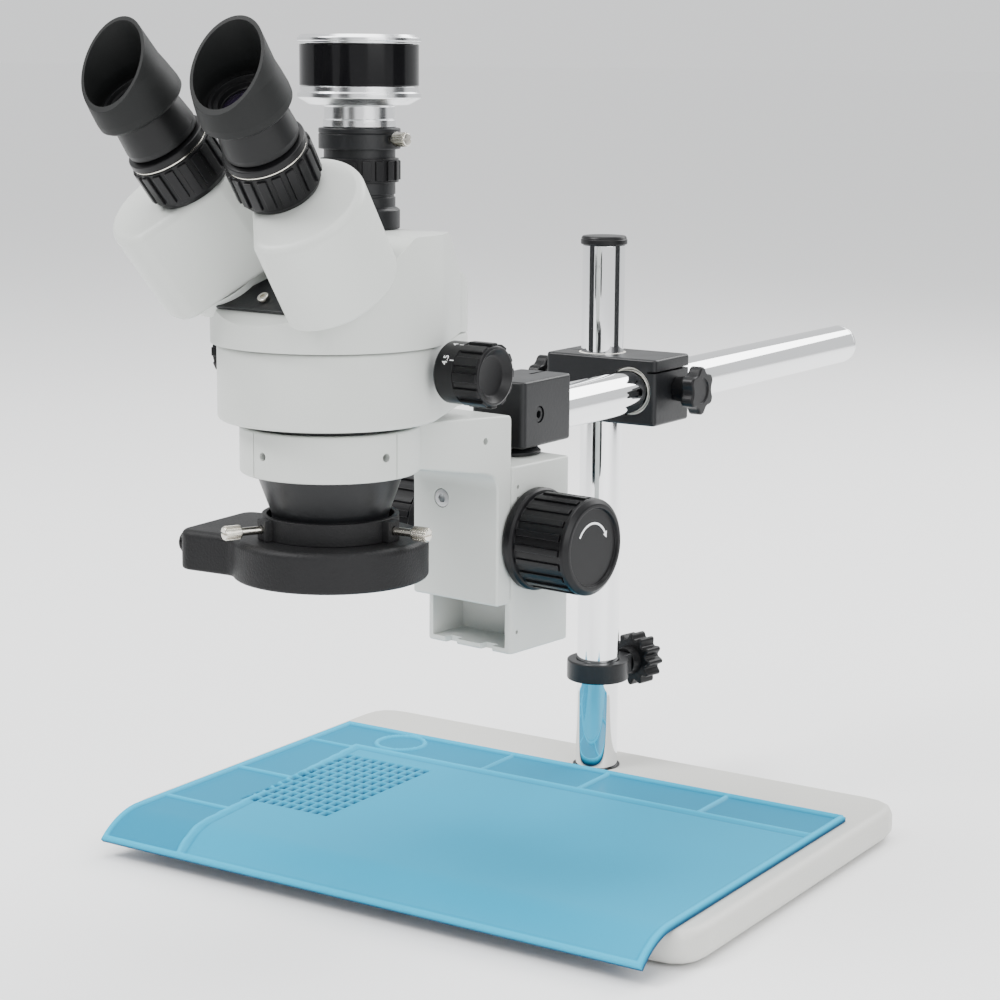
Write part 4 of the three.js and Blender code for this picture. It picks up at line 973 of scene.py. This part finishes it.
def front_plate():
    place = slope_place(9)
    sheet = pushed(eased([(-28, 0, 1), (28, 0, 1), (0, 30, 2)], 0, True), GAP, GAP + 2)
    sheet = bevelled(sheet, 0.4, 2)
    to_plate = place.inverted()
    pads = [moved(rod(20.3, -20, 5, 0, ROUND), to_plate @ eye_place(side)) for side in SIDES]
    dress("front_plate", cut(sheet, *pads), place, "black_paint")
    seat = 2 + 2 * GAP
    screw = cut(turned([(0, seat), (2.8, seat), (2.8, seat + 2), (0, seat + 2)], 0.5), hex_socket(2.4, seat + 0.8, seat + 3))
    dress("front_plate_screw", screw, slope_place(16), "nickel")


def nose():
    top, bottom = high("head_nose").z, low("head_nose").z
    ring_top = high("holder_arm").z
    ring_bottom = ring_top - 22.6
    band = ring_top + GAP
    cone_end = ring_bottom - 20
    profile = [(22, bottom), (28.6, bottom, 0.8), (28.6, cone_end - 1, 0.3), (29, cone_end, 0.3), (36, ring_bottom - 0.6, 0.5),
               (37.8, ring_bottom + 1, 0.5), (37.8, band, 0.1), (41, band, 0.4), (41, band + 2.6, 0.4),
               (29.7, band + 2.6, 0.1), (29.7, top, 0.3), (22, top, 0.3)]
    dress("head_nose", turned(profile), HEAD, "black_paint")
    lens, edge = low("objective_lens").z, 21.6
    glass = turned([(0, lens, 0), (edge * 0.5, lens + 0.4, 6), (edge, lens + 1.5, 0.2), (edge, lens + 7.5, 0.2),
                    (edge * 0.5, lens + 8.6, 6), (0, lens + 9, 0)])
    dress("objective_lens", glass, HEAD, "glass")


def digits(text, size):
    """Flat figures, centred on the origin."""
    curve = bpy.data.curves.new("figures", "FONT")
    curve.body = text
    curve.size = size
    curve.align_x = "CENTER"
    curve.align_y = "CENTER"
    curve.extrude = 0.06
    item = bpy.data.objects.new("figures", curve)
    scene.collection.objects.link(item)
    mesh = bpy.data.meshes.new_from_object(item.evaluated_get(bpy.context.evaluated_depsgraph_get()))
    bpy.data.objects.remove(item)
    made = bpy.data.objects.new("figures", mesh)
    scene.collection.objects.link(made)
    return made


def wrapped(item, radius, angle, height):
    """Bends a flat shape round the z axis, with its y axis along z."""
    for vertex in item.data.vertices:
        x, y, z = vertex.co
        around = angle + x / radius
        vertex.co = ((radius + z) * math.cos(around), (radius + z) * math.sin(around), height + y)
    return item


def zoom_knobs():
    r, length, body = 15.5, 30, 54
    half = length * 0.5
    zoom = HEAD.inverted() @ pivot_of("zoom_turn")
    for side, sign in SIDES.items():
        profile = [(0, 18.3), (3.3, 18.3), (3.3, 0), (9, 0), (9, 3.6), (r - 1.4, 3.6), (r - 0.6, 4.8), (r - 0.6, half, 0.2),
                   (r - 1.3, half + 0.1, 0.2), (r - 1.3, length - 2, 0.2), (r - 1.2, length - 0.6, 0.8), (r - 2.6, length, 0.6),
                   (r - 6, length - 3.4, 2), (0, length - 4.2)]
        ribs = set_round(bar(4.6, 1.25, half - 1.3), 12, r - 1.3, half + 0.5, "black_plastic")
        knob = gathered(turned(profile), ribs)
        place = HEAD @ shift(sign * (body + 0.5), zoom.y, zoom.z) @ (TO_X if sign > 0 else TO_MINUS_X)
        dress("zoom_knob_" + side, knob, place, "black_plastic")
        figures = []
        for i, text in enumerate(("0.7", "1", "1.5", "2", "3", "4", "4.5")):
            angle = math.radians(40 * i)
            figures.append(wrapped(moved(digits(text, 4.2), turn(180)), r - 0.6, angle, 10))
            figures.append(wrapped(block((-0.2, 0.2), (-1.1, 1.1), (-0.05, 0.06)), r - 0.6, angle, 13.6))
        add(f"zoom_figures_{side}", gathered(*figures), place, "print", "zoom_shaft")
    refinish("zoom_shaft", "steel")
    refinish("guide_rod", "steel")
    refinish("zoom_lens_carriage", "silver")


# ------------------------------------------------------------------------------------------------
# Photo port and camera
# ------------------------------------------------------------------------------------------------

PORT = HEAD @ shift(0, 23)


def thumb_screw(shank, head, head_length, length):
    """A knurled thumb screw about z, tip at zero."""
    start = length - head_length
    profile = [(0, 0), (shank, 0), (shank, start), (head - 0.5, start, 0.5), (head - 0.5, length, 0.6), (0, length)]
    knurl = set_round(bar(0.55, 0.45, head_length - 1.6), 22, head - 0.55, start + 0.8, "nickel")
    slot = block((-0.5, 0.5), (-head, head), (length - 1, length + 1))
    return gathered(cut(turned(profile, 0.3, 48), slot), knurl)


def photo_port():
    base, top = low("port_tube").z, high("port_tube").z
    grip_base, grip_top = low("port_focus_ring").z, high("port_focus_ring").z
    clamp = top - 10
    profile = [(15.3, base), (19.5, base, 0.4), (19.5, base + 9, 0.8), (18.2, base + 10, 0.5), (17.3, base + 10.4, 0.3),
               (17.3, base + 15), (16.7, base + 15.3, 0.2), (16.7, base + 16.3, 0.2), (17.3, base + 16.6), (17.3, clamp),
               (19.8, clamp, 0.6), (19.8, top - 3, 0.2), (19.3, top - 2.6, 0.2), (19.8, top - 2.2, 0.2), (19.8, top, 0.8),
               (15.3, top)]
    hole = moved(rod(1.9, 14, 21), shift(0, 0, top - 5) @ TO_X)
    dress("port_tube", cut(turned(profile, 0.2), hole), PORT, "black_paint")
    ring = hoop(17.6, 18.9, grip_base, grip_top, 0.4)
    ribs = set_round(bar(4.4, 0.9, 9.3), 18, 18.85, grip_base + 1.1, "black_plastic")
    dress("port_focus_ring", gathered(ring, ribs), PORT, "black_plastic")
    place = PORT @ shift(16.3, 0, top - 5) @ TO_X
    dress("adapter_thumb_screw", thumb_screw(1.6, 3.6, 8, 13.5), place, "nickel")


def camera_head():
    seat = high("port_tube").z + GAP
    base, top = low("camera_body").z, high("camera_body").z
    neck = [(12, seat - 15), (15, seat - 15), (15, seat), (17.6, seat, 0.5), (17.6, seat + 3.5, 0.5), (16.9, seat + 4, 0.2),
            (16.9, base - 1), (17.6, base - GAP, 0.3), (12, base - GAP)]
    dress("camera_adapter", turned(neck, 0.3), PORT, "silver")
    r = 29.8
    sleeve_base, sleeve_top = base + 8.6, top - 4.6
    lower = [(11, base + 1), (17, base, 0.3), (24, base, 0.8), (r, base + 3.2, 0.8), (r, base + 5.6, 0.4), (r - 1.2, base + 6, 0.3),
             (r - 1.2, sleeve_base, 0.2), (11, sleeve_base)]
    add("camera_lower_ring", turned(lower), PORT, "silver", "camera")
    sleeve = [(0, sleeve_base + GAP), (r - 1.1, sleeve_base + GAP, 0.4), (r - 1.1, sleeve_top, 0.4), (r - 4, sleeve_top, 0.2),
              (r - 4, top - 0.9, 0.2), (0, top - 0.9)]
    dress("camera_body", turned(sleeve), PORT, "gloss_black")
    rim = [(r - 3.7, sleeve_top + GAP, 0.2), (r - 0.4, sleeve_top + GAP, 0.3), (r - 0.4, sleeve_top + 1.2, 0.1),
           (r, sleeve_top + 1.6, 0.2), (r, top - 1.6, 0.5), (r - 1.8, top, 0.5), (r - 3.7, top, 0.3)]
    add("camera_top_ring", turned(rim), PORT, "silver", "camera")


# ------------------------------------------------------------------------------------------------
# Eyes: prism housing, diopter ring, eyepiece and eyecup
# ------------------------------------------------------------------------------------------------

PRISM_LENGTH = 50
TUBE_OFFSET, TUBE_BACK = 12, 6
DIOPTER_LENGTH, BARREL_LENGTH = 26.2, 17.2


def prism_plan(sign, inset=0):
    """A circle cut by a flat that faces forward and inward, with rounded corners beside the flat."""
    radius, flat, facing, ease = 32 - inset, 21 - inset, 220, 11
    opening = math.degrees(math.acos(flat / radius))
    first, last = facing + opening, facing + 360 - opening
    points = arc((0, 0), radius, first + ease, last - ease, 60)
    corners = [Vector(arc((0, 0), radius, angle, angle, 1)[0]) for angle in (last, first)]
    along = (corners[1] - corners[0]).normalized() * 5.5
    ends = [(Vector(points[-1]), corners[0], corners[0] + along), (corners[1] - along, corners[1], Vector(points[0]))]
    for start, corner, end in ends:
        for k in range(1, 7):
            t = k / 7
            points.append(tuple(start * (1 - t) ** 2 + corner * 2 * t * (1 - t) + end * t ** 2))
    return [(sign * x, y) for x, y in points]


def prism_housing(side, sign, place):
    outer = lofted(lambda inset: prism_plan(sign, inset), 0, PRISM_LENGTH, 2.5, 4)
    inner = pushed(prism_plan(sign, 3), 3, PRISM_LENGTH - 3)
    pivot = rod(16, -1, 4, 0, ROUND)
    stub = moved(rod(14.2, PRISM_LENGTH - 1, PRISM_LENGTH + 22, 0.4, ROUND), shift(-sign * TUBE_OFFSET, TUBE_BACK))
    bore = moved(rod(11.5, PRISM_LENGTH - 4, PRISM_LENGTH + 23, 0, ROUND), shift(-sign * TUBE_OFFSET, TUBE_BACK))
    dress("prism_housing_" + side, cut(joined(outer, stub), inner, pivot, bore), place, "white")


def diopter_ring(side, place):
    length, inner = DIOPTER_LENGTH, 14.5
    profile = [(inner, 0), (17.8, 0, 0.5), (19.2, 2.6, 0.8), (19.2, length - 5.6, 0.3), (18.6, length - 5.2, 0.2),
               (18.6, length - 4.2, 0.2), (19.4, length - 3.8, 0.3), (19.2, length - 0.8, 0.8), (inner, length, 0.3)]
    ribs = set_round(bar(4.4, 1.3, length - 10.6), 18, 19.1, 4.2, "black_plastic")
    dress("diopter_ring_" + side, gathered(turned(profile), ribs), place, "black_plastic")
    body = "diopter_" + side
    add("diopter_line_" + side, hoop(18.3, 19.0, length - 5.0, length - 4.4, 0.1), place, "nickel", body)


def eyepiece(side, place):
    start, shoulder = DIOPTER_LENGTH + 2 * GAP, DIOPTER_LENGTH + 2 * GAP + BARREL_LENGTH
    profile = [(9, 4), (11.2, 4), (11.2, start), (17.4, start, 0.6), (17.7, start + 3, 1), (16.2, shoulder, 0.3), (15.2, shoulder, 0.1),
               (15.2, shoulder + 9, 0.3), (13.8, shoulder + 9, 0.3), (13.2, shoulder + 7.2, 0.2), (11.4, shoulder + 7, 0.2),
               (10.8, shoulder + 5, 0.2), (10.2, shoulder + 4.8, 0.2), (9, start + 4)]
    dress("eyepiece_" + side, turned(profile, 0.3), place, "eyepiece")
    glass = turned([(0, shoulder + 2.5, 0), (10, shoulder + 2.5, 0.2), (10, shoulder + 4.4, 0.2),
                    (5.5, shoulder + 5.7, 8), (0, shoulder + 6.1, 0)])
    add("eye_lens_" + side, glass, place, "glass", "eyepiece_" + side)


def eyecup(side, place):
    """A soft cup whose mouth slants so that its outer side stands higher."""
    base, rim, wall, length, horn = 21.3, 19.6, 1.7, 14, 23
    tall = length + horn
    cup = turned([(15.5, 0, 0.3), (base - 1.5, 0, 0.8), (base, 1.6, 1.2), (base, 5, 3), (rim + 0.9, 12, 5), (rim, length + 4, 6),
                  (rim - 0.6, tall + 3, 0.3), (rim - 0.6 - wall, tall + 3, 0.3), (rim - wall, length, 8),
                  (base - wall - 0.8, 7, 3), (15.5, 3.5, 0.3)])
    slope = math.atan(horn / (2 * rim))
    lid = moved(block((-90, 90), (-90, 90), (0, 90)), shift(0, 0, length + horn / 2) @ Matrix.Rotation(slope, 4, "X"))
    cup = bevelled(cut(cup, lid), 0.55, 3, 50)
    dress("eyecup_" + side, cup, place, "cup_rubber")


def eyes():
    for side, sign in SIDES.items():
        place = eye_place(side)
        stack = place @ shift(-sign * TUBE_OFFSET, TUBE_BACK, PRISM_LENGTH + GAP)
        prism_housing(side, sign, place)
        diopter_ring(side, stack)
        eyepiece(side, stack)
        eyecup(side, stack @ shift(0, 0, DIOPTER_LENGTH + 3 * GAP + BARREL_LENGTH))


# ------------------------------------------------------------------------------------------------
# Ring light
# ------------------------------------------------------------------------------------------------

def ring_light_plan(inset):
    """A circle that runs through hollow fillets into a box on the user's left."""
    radius, fillet, half, end, corner = 48, 10, 30, 72, 8
    across = math.sqrt((radius + fillet) ** 2 - (half + fillet) ** 2)
    bearing = math.degrees(math.atan2(half + fillet, -across))
    side = arc((-across, half + fillet), fillet + inset, bearing - 180, -90, 10)
    side += arc((corner - end, half - corner), corner - inset, 90, 180, 10)
    return arc((0, 0), radius - inset, -bearing, bearing, 80)[1:-1] + side + [(x, -y) for x, y in reversed(side)]


def ring_light():
    bottom, top = low("ring_light").z, high("ring_light").z
    shoulder = top - 11
    bore, collar, box_end = 31, 33.5, 72
    screw_z = top - 5.5
    mid = (bottom + shoulder) / 2
    turns = (0, 120, 240)
    case = lofted(ring_light_plan, bottom, shoulder, 1.5, 3.5)
    hole = rod(bore, bottom - 1, top + 1, 0, ROUND)
    channel = hoop(33.7, 44.3, bottom - 1, bottom + 5.3, 0)
    power = moved(rod(4, -8, 1), shift(-box_end, 12, mid) @ TO_MINUS_X)
    dial_hole = moved(rod(3.3, -8, 1), shift(-box_end, -12, mid) @ TO_MINUS_X)
    case = cut(case, hole, channel, power, dial_hole)
    neck = hoop(bore, collar, shoulder + 0.01, top, 0.5)
    bosses = [moved(bevelled(block((bore + 1, collar + 3.4), (-5, 5), (shoulder + 0.02, top - 0.6)), 0.7, 2), turn(a))
              for a in turns]
    screw_holes = [moved(rod(2.3, bore - 1, collar + 6), shift(0, 0, screw_z) @ turn(a) @ TO_X) for a in turns]
    neck = cut(joined(neck, *bosses), *screw_holes)
    dress("ring_light", gathered(case, neck), LIGHT, "textured")
    dress("led_ring", hoop(34, 44, bottom + 1, bottom + 5, 0.2), LIGHT, "diffuser")
    dome = moved(turned([(0, 0), (1.7, 0), (1.7, 0.5, 0.3), (1.2, 0.85, 0.6), (0, 1.0)], 0.2, 16), turn(180, "X"))
    domes = moved(set_round(dome, 48, 39, 0, "diffuser"), shift(0, 0, bottom + 0.95))
    add("led_domes", domes, LIGHT, "diffuser", "ring_light")
    for number, angle in enumerate(turns, 1):
        place = LIGHT @ turn(angle) @ shift(29.6, 0, screw_z) @ TO_X
        dress(f"light_screw_{number}", thumb_screw(2, 3.7, 9, 27), place, "nickel")
    dial = gathered(turned([(0, -6), (3, -6), (3, GAP), (5.4, GAP), (5.4, 8, 0.8), (0, 8)], 0.2, 48),
                    set_round(bar(0.9, 0.6, 6.2), 16, 5.35, 0.8, "black_plastic"))
    dress("light_dimmer_knob", dial, LIGHT @ shift(-box_end, -12, mid) @ TO_MINUS_X, "black_plastic")


# ------------------------------------------------------------------------------------------------
# Silicone mat
# ------------------------------------------------------------------------------------------------

def smooth_step(value, start, end):
    t = max(0.0, min(1.0, (value - start) / (end - start)))
    return t * t * (3 - 2 * t)


def ridge(distance, half_width, soft=0.7):
    return 1 - smooth_step(abs(distance), half_width - soft / 2, half_width + soft)


MAT = {"left": -172.0, "right": 173.0, "back": -18.5, "flat": 203.5, "bend": 40.0, "droop": 45.0, "bottom": 20.3}
MAT_LENGTH = MAT["flat"] + math.radians(MAT["droop"]) * (MAT["bend"] + 2)


def mat_height(x, y):
    """Height of the mat's top over its underside, at a place on the flat sheet."""
    field, strip, crest, rim = 2.7, 2.1, 3.5, 4.0
    front = MAT["back"] - MAT_LENGTH
    inner_left = -137 + (-65 - y) * 21 / 205
    back_line = -58.0
    height = field
    left_of = smooth_step(inner_left - x, 0, 1.2)
    behind = smooth_step(y - back_line, 0, 1.2)
    height += (strip - field) * max(left_of, behind)
    lines = ridge(x - inner_left, 1.1) if y < back_line + 1 else 0
    lines = max(lines, ridge(y - back_line, 1.1) if x > inner_left - 1 else 0)
    if y > back_line:
        lines = max(lines, max(ridge(x - at, 1.0) for at in (-46, 21, 100)))
    if x < inner_left:
        lines = max(lines, max(ridge(y - at, 1.0) for at in (-62, -133, -199)))
    pocket = math.hypot(x + 118, y + 38)
    if x < -90 and y > back_line:
        lines = max(lines, ridge(pocket - 15, 1.0))
    height = max(height, height + (crest - height) * lines)
    groove = ridge(x - inner_left - 5, 0.7) if y < back_line - 5 else 0
    groove = max(groove, ridge(y - back_line + 5, 0.7) if x > inner_left + 5 else 0)
    height -= 0.5 * groove
    column, row = (x + 131.375) / 6.25, (-75.43 - y) / 8.76
    if 0 <= column < 10 and 0 <= row < 12:
        inside = max(abs(column % 1 - 0.5), abs(row % 1 - 0.5))
        height -= 1.9 * (1 - smooth_step(inside, 0.3, 0.38))
    edge = min(x - MAT["left"], MAT["right"] - x, MAT["back"] - y, y - front)
    height += (rim - height) * (1 - smooth_step(edge, 2.6, 3.6))
    return height - 1.4 * (1 - smooth_step(edge, 0, 1.3)) ** 2


def mat_point(x, along, height):
    """A place on the mat, which lies flat and then bends down over the plate's front edge."""
    if along <= MAT["flat"]:
        return (x, MAT["back"] - along, MAT["bottom"] + height)
    angle = (along - MAT["flat"]) / (MAT["bend"] + 2)
    reach = MAT["bend"] + height
    return (x, MAT["back"] - MAT["flat"] - reach * math.sin(angle), MAT["bottom"] - MAT["bend"] + reach * math.cos(angle))


def silicone_mat():
    step = 1.25
    width = MAT["right"] - MAT["left"]
    columns, rows = round(width / step), round(MAT_LENGTH / step)
    bm = bmesh.new()
    # a quarter of each point's height is kept on the mesh as the mask for the silicone finish's painted shade in its
    # recesses
    relief = bm.verts.layers.float.new("relief")
    sheets = []
    for top in (True, False):
        sheet = []
        for j in range(rows + 1):
            along = MAT_LENGTH * j / rows
            line = []
            for i in range(columns + 1):
                x = MAT["left"] + width * i / columns
                height = mat_height(x, MAT["back"] - along) if top else 0
                if top or i in (0, columns) or j in (0, rows) or (i % 8 == 0 and j % 8 == 0):
                    corner = bm.verts.new(mat_point(x, along, height))
                    # the height, stored for the painted shade: low points are drawn darker
                    corner[relief] = height / 4
                    line.append(corner)
                else:
                    line.append(None)
            sheet.append(line)
        sheets.append(sheet)
    roof, floor = sheets
    for j in range(rows):
        for i in range(columns):
            bm.faces.new((roof[j][i], roof[j + 1][i], roof[j + 1][i + 1], roof[j][i + 1]))
    rim = [(0, i) for i in range(columns)] + [(j, columns) for j in range(rows)]
    rim += [(rows, i) for i in range(columns, 0, -1)] + [(j, 0) for j in range(rows, 0, -1)]
    for (j, i), (m, n) in zip(rim, rim[1:] + rim[:1]):
        bm.faces.new((roof[j][i], roof[m][n], floor[m][n], floor[j][i]))
    bm.verts.ensure_lookup_table()
    loose = [v for line in floor[1:-1] for v in line[1:-1] if v]
    bmesh.ops.delete(bm, geom=loose, context="VERTS")
    for j in range(rows):
        left, right = (floor[j][0], floor[j][columns]), (floor[j + 1][0], floor[j + 1][columns])
        if j == 0:
            bm.faces.new([floor[0][i] for i in range(columns + 1)] + [right[1], right[0]])
        elif j == rows - 1:
            bm.faces.new([left[0], left[1]] + [floor[rows][i] for i in range(columns, -1, -1)])
        else:
            bm.faces.new((left[0], left[1], right[1], right[0]))
    dress("silicone_mat", shape(bm), STAND, "silicone", 60)


# ------------------------------------------------------------------------------------------------
# The whole microscope
# ------------------------------------------------------------------------------------------------

add_camera()
add_studio()
base_plate()
rubber_feet()
silicone_mat()
pillar()
stop_collar()
cross_clamp()
boom()
end_bracket()
stem_post()
rack_housing()
focus_knobs()
holder_arm()
lower_body()
upper_housing()
front_plate()
nose()
zoom_knobs()
photo_port()
camera_head()
eyes()
ring_light()
